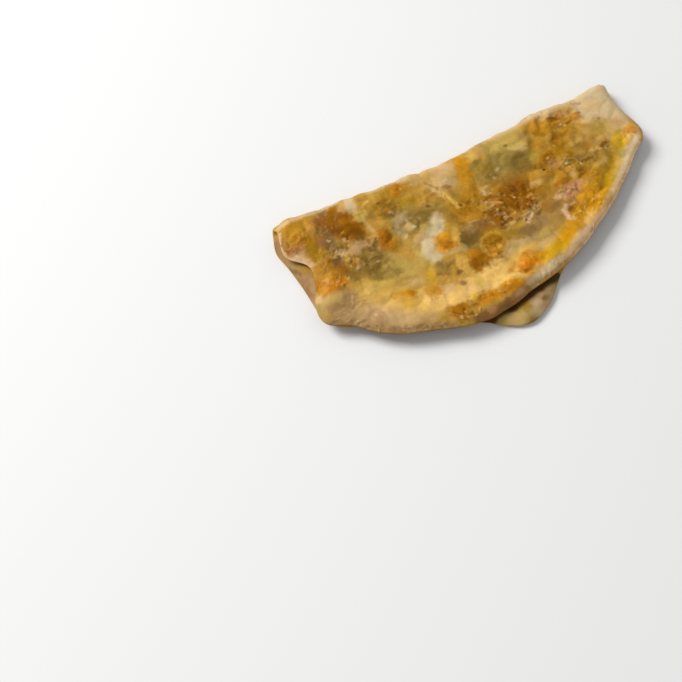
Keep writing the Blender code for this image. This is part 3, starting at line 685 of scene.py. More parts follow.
    Patch(36.3, 28.2, 1.0, 0.6, 0, Tint.BROWN, 0.5, 0.7),
    Patch(33, 30, 3.5, 2, 0, Tint.GOLDEN_TAN, 0.6, 0.8),
    Patch(30, 34.3, 4, 1.5, 0, Tint.CREAM, 0.5, 0.8),
    Patch(37, 36, 4, 2, 0, Tint.GOLDEN_TAN, 0.8, 0.7),
    Patch(43, 29, 3, 2.5, 0, Tint.PINK_TAN, 0.5, 0.8),
    Patch(41.3, 38.8, 4.2, 1.8, 0, Tint.BROWN_GOLD, 0.8, 0.6),
    Patch(48.2, 37, 1.1, 1.5, 0, Tint.PEACH_CREAM, 0.4, 0.8),
    Patch(45.5, 34.5, 2.5, 1.5, 0, Tint.AMBER, 0.4, 0.8),
    # Painted glints: small pale dots
    Streak(48, 31, 50, 31.4, 0.6, Tint.CREAM, 0.8),
    Patch(49, 33.3, 0.6, 0.7, 0, Tint.CREAM, 0.75, 0.5),
    Patch(48.3, 32.3, 0.6, 0.5, 0, Tint.SHADE, 0.6, 0.6),
    Patch(45.5, 5, 3.5, 2.5, 0, Tint.AMBER, 0.55, 0.8),
    Patch(53.5, 5, 4, 2.2, 0, Tint.CREAM, 0.6, 0.8),
    Patch(46.5, 1.8, 1.2, 1, 0, Tint.PINK_CREAM, 0.7, 0.6),
    Patch(46.5, 13, 1.3, 1.2, 0, Tint.BROWN, 0.55, 0.7),
    Patch(45.5, 8.5, 2.5, 2, 0, Tint.GOLD, 0.5, 0.8),
    Patch(51, 17, 1.6, 4.5, 15, Tint.BROWN, 0.55, 0.8),
    # Painted glint: a small pale gold dot
    Patch(48.3, 20.5, 0.8, 0.7, 0, Tint.PALE_GOLD, 0.6, 0.6),
    Patch(56.5, 7.6, 3.8, 1.8, -3, Tint.BROWN, 0.95, 0.5),
    Patch(61.5, 7.3, 2.2, 1.4, 0, Tint.PINK_TAN, 0.7, 0.7),
    Patch(56.8, 10.8, 2.6, 1.2, 8, Tint.AMBER, 0.9, 0.6),
    # Painted highlight on the lower side of the blister
    Patch(57.3, 12, 0.8, 0.5, 0, Tint.CREAM, 0.85, 0.5),
    Patch(58.7, 13.3, 0.6, 0.4, 0, Tint.CREAM, 0.75, 0.5),
    Patch(61.5, 12.5, 2.2, 0.8, -10, Tint.BROWN, 0.85, 0.6),
    Patch(62, 17.5, 1.0, 1.6, 0, Tint.GOLDEN_OLIVE, 0.7, 0.7),
    Patch(54, 13.5, 2.6, 1.2, 10, Tint.GOLDEN_TAN, 0.7, 0.7),
    Patch(48.5, 15.5, 2.2, 1.2, -20, Tint.PALE_GOLD, 0.45, 0.8),
    Patch(60, 20, 3.4, 1.6, -10, Tint.GOLDEN_TAN, 0.6, 0.8),
    Patch(65, 29, 9, 6.5, -20, Tint.MAUVE_BEIGE, 0.3, 0.9),
    Patch(60, 23.5, 5, 3, 0, Tint.OLIVE_BEIGE, 0.35, 0.9),
    Patch(66, 20.5, 2.6, 1.8, 0, Tint.LIGHT_GOLD, 0.35, 0.8),
    Patch(58.5, 26, 1.6, 2.6, 20, Tint.OLIVE_SHADE, 0.4, 0.8),
    Patch(46, 27.5, 3, 1.2, -20, Tint.GOLDEN_TAN, 0.6, 0.8),
    Patch(64, 30.5, 2.4, 1.2, 0, Tint.PALE_GOLD, 0.4, 0.8),
    Patch(66.3, 11.8, 2.8, 2.4, 0, Tint.ORANGE_GOLD, 0.75, 0.6),
    Patch(67.3, 9.9, 2.2, 0.8, 0, Tint.BROWN_GOLD, 0.7, 0.6),
    Patch(68, 15.8, 2.4, 1.1, 0, Tint.PALE_GOLD, 0.7, 0.7),
    Patch(58, 23, 4.5, 1.3, -10, Tint.PALE_GOLD, 0.4, 0.8),
    Patch(73, 21.5, 5, 3.5, 0, Tint.OLIVE_GOLD, 0.4, 0.8),
    Patch(75.5, 17, 1.2, 0.6, 0, Tint.BROWN_MAUVE, 0.5, 0.6),
    Patch(82, 22.5, 3.2, 2.2, 20, Tint.PINK_TAN, 0.5, 0.8),
    # Pale lines and spots along the fold: the wide pale lines are the dough's paler edge, partly a painted
    # highlight along the fold
    Streak(43, 1.5, 66, 2.2, 2.2, Tint.BUFF, 0.75, 0.8),
    Streak(8, 2.0, 38, 2.0, 2.2, Tint.BUFF, 0.5, 0.9),
    Streak(-40, 2.0, -18, 2.4, 2.0, Tint.BUFF, 0.6, 0.9),
    Streak(56, 3.5, 62, 3.2, 0.5, Tint.GREY_OLIVE, 0.3),
    Patch(55.6, 4.8, 3, 1.3, 0, Tint.CREAM, 0.65, 0.8),
    Streak(66, 3, 72, 6, 0.5, Tint.MAUVE_BEIGE, 0.6),
    Patch(81, 3, 6, 3, 0, Tint.WHITE_CREAM, 0.4, 0.8),
    # Paler dough along the fold's left edge, partly a painted highlight
    Streak(-86, 0.4, -56, 1.0, 1.2, Tint.BUFF, 0.6, 0.8),
    # Right half, nearer the front
    Patch(52, 28, 2.4, 1.8, 0, Tint.BROWN, 0.55, 0.8),
    Patch(61.5, 27.5, 2.2, 2.4, 0, Tint.BROWN_GOLD, 0.5, 0.8),
    Patch(57.5, 34, 4, 0.9, 0, Tint.DARK_BROWN, 0.7, 0.6),
    Patch(55.5, 31.5, 3.5, 1.4, 0, Tint.BROWN_MAUVE, 0.5, 0.8),
    Patch(69.5, 30.2, 3.2, 0.8, -22, Tint.BROWN, 0.85, 0.5),
    # Painted glints: small pale dots
    Patch(67, 31.8, 1.0, 0.5, 0, Tint.CREAM, 0.85, 0.5),
    Patch(69.2, 32.4, 0.5, 0.9, -30, Tint.CREAM, 0.8, 0.5),
    Patch(70.3, 26, 1.8, 1.2, 0, Tint.PALE_GOLD, 0.5, 0.7),
    Patch(65, 26, 1.6, 0.8, 0, Tint.AMBER, 0.4, 0.8),
    # Painted glint: a small pale dot
    Patch(54, 34.7, 0.5, 0.7, 0, Tint.CREAM, 0.8, 0.5),
    Patch(52.5, 37.2, 2.8, 1.3, 0, Tint.BROWN, 0.65, 0.7),
    Patch(52, 40.8, 2.6, 2, 0, Tint.BROWN_GOLD, 0.6, 0.7),
    Patch(60, 38.3, 4, 2, 0, Tint.GOLDEN_TAN, 0.7, 0.7),
    Patch(64, 38, 2.8, 1.8, -20, Tint.CREAM, 0.35, 0.9),
    Patch(66, 36, 3.5, 3, 0, Tint.OLIVE, 0.3, 0.8),
    Patch(77.5, 33, 2.8, 6.5, 14, Tint.YELLOW, 0.9, 0.5),
    Patch(76.5, 33.5, 1.4, 3.4, 12, Tint.OLIVE_YELLOW, 0.8, 0.7),
    Patch(85.5, 31.5, 4.5, 4, -15, Tint.AMBER, 0.9, 0.6),
    Patch(83.5, 33.5, 4, 2.4, -20, Tint.LIGHT_GOLD, 0.8, 0.6),
    Patch(79.5, 27.5, 3, 1.3, 0, Tint.OLIVE_GOLD, 0.7, 0.7),
    Patch(84, 28.6, 3.4, 2.2, -15, Tint.AMBER, 0.7, 0.8),
    Patch(75.5, 40, 5, 3, -40, Tint.BUFF, 0.8, 0.6),
    Patch(79, 38, 2.5, 1.8, -40, Tint.PEACH_CREAM, 0.7, 0.7),
    Patch(71.5, 42.5, 3.5, 2.6, -45, Tint.PALE_GOLD, 0.55, 0.7),
    Patch(62.5, 47, 5, 2.2, -36, Tint.YELLOW, 0.7, 0.6),
    Patch(71, 40, 5, 2.0, -40, Tint.YELLOW, 0.35, 0.7),
    Patch(63, 48.5, 1.3, 0.6, 0, Tint.OLIVE, 0.5, 0.6),
    Patch(56, 44.5, 4, 2.5, -20, Tint.GOLD_BROWN, 0.6, 0.8),
    Patch(52, 44, 2.8, 1.9, -20, Tint.OLIVE_BEIGE, 0.55, 0.8),
    Patch(42.5, 44.5, 6.5, 4.2, 0, Tint.PINK_TAN, 0.9, 0.6),
    Patch(36, 45, 2.8, 1.4, 10, Tint.PINK_CREAM, 0.85, 0.6),
    Patch(41.5, 44, 0.9, 0.4, -30, Tint.CREAM, 0.9, 0.5),
    Patch(34, 48.5, 4, 2.5, 0, Tint.BROWN_MAUVE, 0.55, 0.8),
    Patch(40.5, 49.5, 2.2, 2.2, 0, Tint.BROWN_MAUVE, 0.5, 0.8),
    Patch(38.3, 53, 3.6, 3.2, 0, Tint.BROWN_GOLD, 0.8, 0.5),
    Patch(37.5, 52.3, 1.7, 1.3, 0, Tint.BROWN, 0.75, 0.7),
    # Painted highlight: the crater's pale left crescent
    Streak(36, 50.8, 34, 52.8, 1.0, Tint.PEACH_CREAM, 0.75, 0.8),
    Streak(34, 52.8, 34, 56.5, 1.1, Tint.PEACH_CREAM, 0.75, 0.8),
    Streak(34, 56.5, 36, 58, 0.9, Tint.PEACH_CREAM, 0.65, 0.8),
    Streak(36.5, 50.6, 40, 51, 0.7, Tint.PEACH_CREAM, 0.5, 0.8),
    Patch(44, 53, 2.4, 1.8, -20, Tint.AMBER, 0.6, 0.8),
    # Painted glints: small pale flecks by the crater
    Patch(40.5, 56.5, 1.6, 0.7, 30, Tint.PALE_GOLD, 0.85, 0.6),
    Patch(43, 58, 0.6, 1.0, 0, Tint.PALE_GOLD, 0.7, 0.6),
    Patch(26.5, 43, 2, 3, 20, Tint.GREENISH_CREAM, 0.6, 0.8),
    Patch(30, 49.5, 4, 3, 0, Tint.OLIVE_BEIGE, 0.4, 0.8),
    Patch(22, 52, 4, 3, 0, Tint.MAUVE_BEIGE, 0.6, 0.8),
    Patch(13.5, 53.5, 4.2, 2.6, 10, Tint.GREY_MAUVE, 0.6, 0.7),
    Patch(8.5, 48.8, 3, 1.5, 0, Tint.GOLDEN_TAN, 0.7, 0.7),
    Patch(13, 49.3, 2.6, 1.5, -10, Tint.OLIVE_YELLOW, 0.3, 0.8),
    Streak(16.5, 50, 20, 46.3, 0.9, Tint.PEACH_CREAM, 0.85),
    Streak(20, 46, 24.5, 44, 0.8, Tint.CREAM, 0.85),
    Patch(22.6, 48.3, 1.3, 0.9, -10, Tint.OLIVE_SHADE, 0.95, 0.5),
    Patch(20.8, 49, 1.5, 0.7, 0, Tint.MAUVE_BEIGE, 0.6, 0.7),
    Patch(19, 37, 7, 6.5, 0, Tint.BROWN, 0.98, 0.5),
    Patch(18, 31.5, 7, 3.5, 0, Tint.BROWN, 0.8, 0.8),
    Patch(7, 40, 6, 4, 10, Tint.BROWN, 0.5, 0.8),
    Patch(28, 43, 4, 7, 0, Tint.BROWN_GOLD, 0.55, 0.8),
    Streak(12, 36.5, 15.5, 33.5, 0.5, Tint.BROWN, 0.7),
    Streak(15.8, 34.5, 17.2, 36.5, 0.5, Tint.AMBER, 0.85),
    Patch(16.8, 36.3, 0.7, 0.6, 0, Tint.CREAM, 0.85, 0.5),
    Streak(22.5, 39, 25, 38, 0.6, Tint.AMBER, 0.8),
    Patch(24.8, 38.8, 0.6, 0.5, 0, Tint.CREAM, 0.7, 0.5),
    Streak(6, 32.5, 11, 35.5, 0.5, Tint.BROWN, 0.6),
    Streak(7, 36, 12, 39, 0.5, Tint.DARK_BROWN, 0.5),
    Patch(6.5, 57, 6, 2.6, -6, Tint.GREENISH_CREAM, 0.4, 0.8),
    Patch(20, 57.5, 5, 2, -8, Tint.GREENISH_CREAM, 0.5, 0.8),
    Patch(19, 62.5, 6, 2.4, -10, Tint.CREAM, 0.5, 0.8),
    Patch(26, 65, 4.5, 1.8, -15, Tint.BRIGHT_GOLD, 0.7, 0.7),
    Patch(6, 67, 7, 4.3, 3, Tint.VIVID_ORANGE, 0.95, 0.5),
    Patch(8, 64, 3.5, 1.6, -10, Tint.AMBER, 0.7, 0.7),
    Streak(-4, 67.5, 1, 66.5, 1.2, Tint.AMBER, 0.8),
    Streak(2, 70.5, 6, 71, 0.7, Tint.BROWN_GOLD, 0.5),
    Patch(9, 70.8, 3.6, 1.5, -8, Tint.AMBER, 0.75, 0.7),
    Patch(8.5, 71, 3.2, 1.2, -8, Tint.LIGHT_GOLD, 0.35, 0.9),
    Patch(20, 71, 4, 1.5, -14, Tint.PALE_GOLD, 0.7, 0.8),
    Patch(13.5, 66.8, 2.8, 2.2, 0, Tint.BRIGHT_GOLD, 0.7, 0.7),
    Patch(22, 69, 6, 2.6, -12, Tint.YELLOW, 0.8, 0.7),
    Patch(33, 67, 4, 2.2, -20, Tint.LIGHT_GOLD, 0.8, 0.7),
    Patch(49, 54, 5, 3.6, -25, Tint.BRIGHT_GOLD, 0.8, 0.6),
    Patch(51.5, 52, 2.4, 1.4, -20, Tint.AMBER, 0.6, 0.7),
    Patch(43, 61, 6, 2.2, -27, Tint.LIGHT_GOLD, 0.6, 0.8),
    Patch(53, 54.5, 6, 2.2, -33, Tint.BRIGHT_GOLD, 0.6, 0.9),
    Patch(61, 49.5, 6, 2.0, -36, Tint.YELLOW, 0.6, 0.9),
    Streak(56, 55, 64, 49.5, 0.9, Tint.LIGHT_GOLD, 0.6, 0.8),
    Patch(68.5, 44, 6, 1.8, -38, Tint.PALE_GOLD, 0.5, 0.9),
    Patch(74, 39, 4, 1.6, -45, Tint.OLIVE_GOLD, 0.6, 0.8),
    # Along the front rim, with a few last touches elsewhere
    Patch(-7, 72.8, 6, 1.9, 0, Tint.BRIGHT_GOLD, 0.9, 0.6),
    Patch(-5, 73.6, 3.5, 1.1, 0, Tint.ORANGE_GOLD, 0.7, 0.7),
    Patch(-18, 73.2, 5, 2.2, 5, Tint.ORANGE_GOLD, 0.85, 0.6),
    Patch(-16.5, 74.3, 2.4, 1.1, 0, Tint.BROWN_GOLD, 0.8, 0.7),
    Patch(-24, 71.6, 2, 1.4, 0, Tint.YELLOW, 0.6, 0.7),
    Patch(-28.2, 70.9, 2.8, 1.4, 0, Tint.LIGHT_GOLD, 0.65, 0.8),
    Patch(-34.5, 73, 4, 2.8, 6, Tint.BROWN_GOLD, 0.95, 0.6),
    Patch(-28.5, 74, 3, 1.6, 5, Tint.BROWN_GOLD, 0.6, 0.8),
    Streak(-24, 75, -2, 75.3, 1.5, Tint.ORANGE_GOLD, 0.75, 0.8),
    Streak(-34, 74.8, -25, 75, 0.7, Tint.DARK_BROWN, 0.45),
    Patch(-34, 73.2, 2.6, 1.6, 0, Tint.BROWN, 0.5, 0.8),
    Patch(-3, 53, 3.4, 2.2, 0, Tint.GOLD_BROWN, 0.4, 0.8),
    Patch(-67, 8, 2.6, 2.2, 0, Tint.BROWN, 0.4, 0.8),
    Patch(-13, 66.5, 13, 2.8, -4, Tint.PALE_GOLD, 0.35, 0.8),
    Patch(-32, 74.2, 4.6, 1.9, 5, Tint.ORANGE_GOLD, 0.5, 0.8),
    Patch(-32.5, 77.3, 3.5, 2.2, 4, Tint.BROWN_GOLD, 0.75, 0.7),
    Patch(-34, 77, 0.7, 0.7, 0, Tint.CREAM, 0.8, 0.5),
    Patch(-31, 78.2, 0.6, 0.8, 0, Tint.CREAM, 0.7, 0.5),
    Patch(-34, 80, 2.2, 1.2, 10, Tint.OLIVE_GOLD, 0.8, 0.7),
    # Pale streaks along the right and front rim: the rim's own pale, unbrowned dough, made lighter still
    # with painted light where the rim and its wall face away from the key light
    Streak(87, 40, 72, 52.5, 2.2, Tint.PEACH_CREAM, 0.9, 0.5),
    Streak(72, 52.5, 56.5, 62.5, 2.2, Tint.PEACH_CREAM, 0.9, 0.5),
    Streak(56.5, 62.5, 31, 72.5, 2.2, Tint.BUFF, 0.9, 0.5),
    Streak(89, 32, 84, 36.5, 1.5, Tint.PEACH_CREAM, 0.7, 0.8),
    Streak(84, 36, 68, 47.5, 1.7, Tint.BUFF, 0.7, 0.8),
    Streak(68, 47.5, 50, 60, 1.5, Tint.CREAM, 0.65, 0.8),
    Streak(88.5, 29.5, 85, 35, 1.5, Tint.PALE_CREAM_AND_PAINTED_LIGHT, 0.7, 0.8),
    Patch(86.5, 29.8, 3.2, 2.4, -15, Tint.AMBER, 0.85, 0.7),
    Patch(86.5, 29.5, 1.8, 1.3, -15, Tint.ORANGE_GOLD, 0.4, 0.8),
    Streak(84, 36, 72, 46.5, 1.9, Tint.PALE_CREAM_AND_PAINTED_LIGHT, 0.8, 0.8),
    Streak(72, 46.5, 60, 54, 1.5, Tint.PALE_CREAM_AND_PAINTED_LIGHT, 0.5, 0.8),
    Streak(84, 39, 70, 50.5, 1.9, Tint.PEACH_CREAM, 0.9, 0.4),
    Streak(70, 50.5, 55, 60.5, 2.0, Tint.PEACH_CREAM, 0.95, 0.4),
    Streak(83, 40, 71, 50, 1.7, Tint.PALE_CREAM_AND_PAINTED_LIGHT, 0.7, 0.8),
    Streak(55, 60.5, 30, 69.5, 2.4, Tint.PEACH_CREAM, 0.95, 0.4),
    Streak(30, 71, 2, 76, 2.6, Tint.PINK_GREY, 0.85, 0.4),
    Streak(27, 69.5, 40, 65.5, 0.8, Tint.WHITE_CREAM, 0.4, 0.8),
    Patch(9, 65, 2.6, 1.3, -10, Tint.AMBER, 0.6, 0.7),
    Patch(31, 70.5, 3, 1.5, -20, Tint.PINK_CREAM, 0.7, 0.7),
    Patch(27, 71.5, 3.4, 1.7, -16, Tint.PEACH_CREAM, 0.65, 0.8),
    Patch(12, 74, 10, 1.8, -12, Tint.BUFF, 0.7, 0.8),
    Streak(-1, 79, -12, 80.5, 2.6, Tint.BROWN_MAUVE, 0.8),
    Streak(-12, 80.5, -28, 81.5, 2.4, Tint.BROWN_MAUVE, 0.85),
    Patch(-20, 79.8, 2.2, 1.6, 0, Tint.PINK_TAN, 0.8, 0.6),
    Patch(-4, 78.3, 3, 1.5, -5, Tint.PINK_GREY, 0.5, 0.7),
    Streak(-46, 71, -62, 64, 3.0, Tint.PINK_GREY, 0.5, 0.9),
    Streak(-62, 64, -78, 54, 3.0, Tint.PINK_GREY, 0.45, 0.9),
    Streak(-38, 80, -62, 70, 2.4, Tint.MAUVE_BEIGE, 0.85),
    Streak(-62, 70, -88, 54, 2.4, Tint.MAUVE_BEIGE, 0.85),
)

# The lower flap's inner skin, which shows as a band at the left end and a tongue under the rim
INNER_MARKS: tuple[Mark, ...] = (
    Patch(-92, 14, 8, 16, 0, Tint.MAUVE_BEIGE, 0.95, 0.6),
    Patch(-92, 6, 4, 5, 0, Tint.BROWN_MAUVE, 0.7, 0.7),
    Patch(-88, 27, 5, 4, 0, Tint.GREY_MAUVE, 0.5, 0.7),
    Patch(-87, 35, 6, 8, 0, Tint.PINK_GREY, 0.95, 0.6),
    # Painted shade: a dark spot under the lip's edge
    Patch(-93, 24, 1.5, 3, 0, Tint.SHADE, 0.4, 0.7),
    Patch(-22, 86, 4, 6, 0, Tint.MAUVE_BEIGE, 1.0, 0.6),
    Patch(-13, 88, 6.5, 7, 0, Tint.GREENISH_CREAM, 0.95, 0.6),
    Patch(-15, 87.5, 2.5, 1.5, 0, Tint.GOLDEN_OLIVE, 0.5, 0.7),
    Patch(-4, 89, 4, 4, 10, Tint.GREY_OLIVE, 0.8, 0.8),
    Patch(-5, 92, 5, 2, 0, Tint.GREY_MAUVE, 0.8, 0.8),
    Patch(4, 86, 5, 7, 0, Tint.PINK_GREY, 0.95, 0.6),
    Patch(-0.8, 88, 3.6, 2.0, 20, Tint.BUFF, 0.45, 1.0),
    Patch(6, 84, 2.4, 1.2, 0, Tint.OLIVE_SHADE, 0.8, 0.6),
    Patch(10, 84, 4, 7, 0, Tint.MAUVE_CREAM, 0.9, 0.6),
    Patch(-11.5, 88, 5.5, 3.4, -5, Tint.CREAM, 0.6, 0.8),
    Patch(1.5, 84.5, 2.4, 1.4, 0, Tint.BUFF, 0.4, 0.9),
    # Painted shade: the dark gap under the top flap's rim, along the tongue
    Streak(-32, 81.8, -10, 81.0, 2.5, Tint.SHADE, 0.95, 0.3),
    Streak(-10, 81.0, 16, 76.2, 2.5, Tint.SHADE, 0.95, 0.3),
    Patch(-89, 30, 5, 7, 0, Tint.MAUVE_BEIGE, 0.7, 0.6),
    Patch(-88, 32.5, 3.5, 5.5, 0, Tint.BROWN_MAUVE, 0.55, 0.8),
    # Painted shade: a thin dark line under the lip's edge
    Streak(-92, 16.5, -86, 23.5, 0.7, Tint.SHADE, 0.5),
)

# Small blisters that stand up from the skin, with a sunken or raised middle
BLISTERS: tuple[Blister, ...] = (
    Blister(-3.5, 53, 4.6, 0.45, -0.15),
    Blister(38.3, 53, 3.4, 0.50, -0.45),
    Blister(-63, 32, 2.8, 0.35, 0.35),
    Blister(42.4, 25, 2.4, 0.35, 0.30),
    Blister(-36.7, 17.2, 2.6, -0.15, 0.35),
    Blister(57, 11, 2.4, 0.0, 0.55),
    Blister(-22, 43, 4.6, 0.20, 0.45),
    Blister(-13.5, 56, 4.2, 0.20, 0.50),
    Blister(-30, 43, 4.0, 0.0, 0.55),
    Blister(-48.8, 56.8, 2.6, 0.0, 0.45),
    Blister(-76, 37, 4.5, 0.10, 0.50),
    Blister(-57, 18.5, 4.8, 0.10, 0.55),
    Blister(-45.2, 28, 4.0, 0.10, 0.50),
    Blister(6.2, 67.2, 4.0, 0.0, 0.40),
    Blister(-28.3, 7, 2.6, 0.10, 0.40),
    Blister(4.8, 7.6, 3.2, 0.0, 0.35),
    Blister(31, 3.0, 1.5, 0.0, 0.20),
    Blister(-32, 3.6, 1.2, 0.0, 0.35),
    Blister(17.5, 3.8, 1.1, 0.0, 0.35),
    Blister(46.5, 2.4, 1.1, 0.0, 0.30),
    Blister(-69.5, 30, 2.6, 0.0, -0.30),
    Blister(-68, 19, 3.6, 0.0, -0.30),
    Blister(-12, 46.5, 3.6, 0.0, -0.40),
    Blister(29, 20, 4.4, 0.0, -0.30),
    Blister(22.6, 48.3, 1.2, 0.10, -0.35),
    Blister(49.0, 6.5, 3.2, 0.55, -0.50),
    Blister(57, 6.8, 3.2, 0.60, -0.85),
    Blister(65.5, 8.5, 2.6, 0.45, -0.55),
    Blister(50, 18, 3.4, 0.45, -0.75),
    Blister(59.5, 21.5, 3.2, 0.45, -0.55),
    Blister(67.5, 18, 4.4, 0.0, 0.75),
    Blister(41, 19, 3.0, 0.0, 0.55),
    Blister(68, 27, 3.4, 0.40, -0.30),
    Blister(55, 30, 3.4, 0.35, 0.20),
    Blister(63, 36, 3.6, 0.35, -0.35),
    Blister(47.5, 37.5, 2.8, 0.40, -0.35),
    Blister(72, 36, 3.0, 0.0, 0.45),
    Blister(37.5, 29.5, 1.0, 0.10, -0.35),
)

# Rough areas of the top flap: their ridges take the area's tint as a painted highlight, along the rim also
# for flour specks, and their pits get painted shade
ROUGH_AREAS: tuple[RoughArea, ...] = (
    RoughArea(-62.5, 18, 2.5, 5.0, -20, 0.7, Tint.PALE_GOLD),
    RoughArea(-63, 32, 4.5, 5.0, 0, 0.7, Tint.CREAM),
    RoughArea(-51, 28, 5.0, 4.0, 0, 0.8, Tint.PINK_CREAM),
    RoughArea(-68, 25, 5.0, 5.0, 0, 0.7, Tint.PINK_CREAM),
    RoughArea(-85, 13, 4.0, 4.0, 0, 0.6, Tint.PEACH_CREAM),
    RoughArea(-79, 11, 6.0, 4.0, 0, 0.5, Tint.AMBER),
    RoughArea(-66, 9, 6.0, 5.0, 0, 0.5, Tint.CREAM),
    RoughArea(-75, 25, 5.0, 6.0, 0, 0.5, Tint.AMBER),
    RoughArea(-55, 37, 8.0, 6.0, 0, 0.5, Tint.GREENISH_CREAM),
    RoughArea(-77, 37, 8.0, 5.0, 10, 0.7, Tint.PEACH_CREAM),
    RoughArea(-45, 29, 4.0, 6.0, 0, 0.5, Tint.AMBER),
    RoughArea(-32, 27, 8.0, 6.0, 0, 0.4, Tint.WHITE_CREAM),
    RoughArea(-37, 14, 6.0, 6.0, 0, 0.6, Tint.CREAM),
    RoughArea(-28, 7, 4.5, 4.0, 0, 0.5, Tint.AMBER),
    RoughArea(-15, 19, 8.0, 7.0, 0, 0.5, Tint.CREAM),
    RoughArea(-22, 43, 5.0, 5.0, 0, 0.6, Tint.AMBER),
    RoughArea(-26, 55, 8.0, 8.0, 0, 0.35, Tint.CREAM),
    RoughArea(-4, 53, 6.5, 7.0, 0, 0.6, Tint.LIGHT_GOLD),
    RoughArea(-14, 57, 5.0, 4.5, 0, 0.4, Tint.AMBER),
    RoughArea(0, 35, 12.0, 8.0, 0, 0.7, Tint.CREAM),
    RoughArea(9, 42, 8.0, 7.0, 0, 1.0, Tint.CREAM),
    RoughArea(8, 30, 7.0, 5.0, 20, 0.6, Tint.CREAM),
    RoughArea(20, 37, 8.0, 8.0, 0, 0.6, Tint.AMBER),
    RoughArea(21, 46, 7.0, 4.0, -30, 1.0, Tint.PEACH_CREAM),
    RoughArea(14, 20, 9.0, 6.0, 0, 0.4, Tint.CREAM),
    RoughArea(40, 27, 7.0, 5.0, 0, 0.5, Tint.AMBER),
    RoughArea(49, 32, 5.0, 5.0, 0, 0.9, Tint.CREAM),
    RoughArea(57, 11, 7.0, 4.0, 0, 0.5, Tint.CREAM),
    RoughArea(52, 20, 9.0, 6.0, 0, 0.4, Tint.AMBER),
    RoughArea(47, 2.0, 7.0, 2.0, 0, 0.8, Tint.CREAM),
    RoughArea(-31, 3.2, 5.0, 1.6, 0, 0.6, Tint.CREAM),
    RoughArea(17, 3.6, 5.0, 1.6, 0, 0.6, Tint.CREAM),
    RoughArea(58, 33, 8.0, 5.0, 0, 0.5, Tint.CREAM),
    RoughArea(69, 31, 5.0, 3.5, -20, 0.7, Tint.CREAM),
    RoughArea(54, 41, 8.0, 5.0, -20, 0.5, Tint.PALE_GOLD),
    RoughArea(38, 54, 6.0, 6.0, 0, 0.4, Tint.PEACH_CREAM),
    RoughArea(41, 45, 7.0, 4.0, 0, 0.8, Tint.PINK_CREAM),
    RoughArea(50, 53, 8.0, 4.0, -25, 0.6, Tint.LIGHT_GOLD),
    RoughArea(83, 31, 6.0, 4.0, 0, 0.5, Tint.PEACH_CREAM),
    RoughArea(5, 68, 9.0, 4.0, 0, 0.5, Tint.LIGHT_GOLD),
    RoughArea(-31, 77, 8.0, 3.0, 5, 1.0, Tint.LIGHT_GOLD),
    RoughArea(-20, 73, 18.0, 3.0, 2, 0.6, Tint.LIGHT_GOLD),
    RoughArea(15, 75, 15.0, 2.5, -13, 0.3, Tint.BUFF),
    RoughArea(44, 66, 17.0, 2.5, -25, 0.4, Tint.BUFF),
    RoughArea(68, 52, 13.0, 2.5, -38, 0.4, Tint.BUFF),
    RoughArea(-52, 74, 14.0, 3.5, 23, 0.6, Tint.BUFF),
    RoughArea(-76, 60, 13.0, 3.5, 33, 0.7, Tint.BUFF),
    RoughArea(-72, 50, 9.0, 6.0, 0, 0.4, Tint.CREAM),
)


@dataclass(frozen=True)
class Facets:
    """Small flat flakes, each of nearly one tint, that the browned skin breaks up into.

    Each point takes its tint from a place that lies the share pull of the way to the middle of its
    flake. A flake is darker or lighter by up to half of shade, times its crust plus plain_share.
    """

    size: float = 2.3
    fray: float = 0.9
    fray_length: float = 1.6
    pull: float = 0.5
    shade: float = 0.22
    plain_share: float = 0.4
    seed: int = 3
    table: int = 128

    def find(self, x: np.ndarray, out: np.ndarray) -> tuple[np.ndarray, np.ndarray, np.ndarray]:
        """Find the flake that each point belongs to.

        Args:
            x: Place of each point along the fold.
            out: Distance of each point from the fold.

        Returns:
            The way in x and in out to the flake's middle, and the flake's shade, -0.5 to 0.5.
        """
        scatter = np.random.default_rng(self.seed).uniform(0.0, 1.0, (3, self.table, self.table))
        patterns = (Pattern.FLAKE_FRAY_X, Pattern.FLAKE_FRAY_OUT)
        fray_x, fray_out = sway(x, out, self.fray, self.fray_length, patterns)
        frayed_x = x + fray_x
        frayed_out = out + fray_out
        column = np.floor(frayed_x / self.size).astype(int)
        row = np.floor(frayed_out / self.size).astype(int)
        nearest = np.full(len(x), np.inf)
        way_x, way_out, shade = np.zeros_like(x), np.zeros_like(x), np.zeros_like(x)
        for step_x in (-1, 0, 1):
            for step_out in (-1, 0, 1):
                cell_x, cell_out = column + step_x, row + step_out
                place_x, place_out, cell_shade = scatter[:, cell_x % self.table, cell_out % self.table]
                middle_x = (cell_x + place_x) * self.size
                middle_out = (cell_out + place_out) * self.size
                distance = np.hypot(middle_x - frayed_x, middle_out - frayed_out)
                nearer = distance < nearest
                nearest = np.where(nearer, distance, nearest)
                way_x = np.where(nearer, middle_x - x, way_x)
                way_out = np.where(nearer, middle_out - out, way_out)
                shade = np.where(nearer, cell_shade - 0.5, shade)
        return way_x, way_out, shade


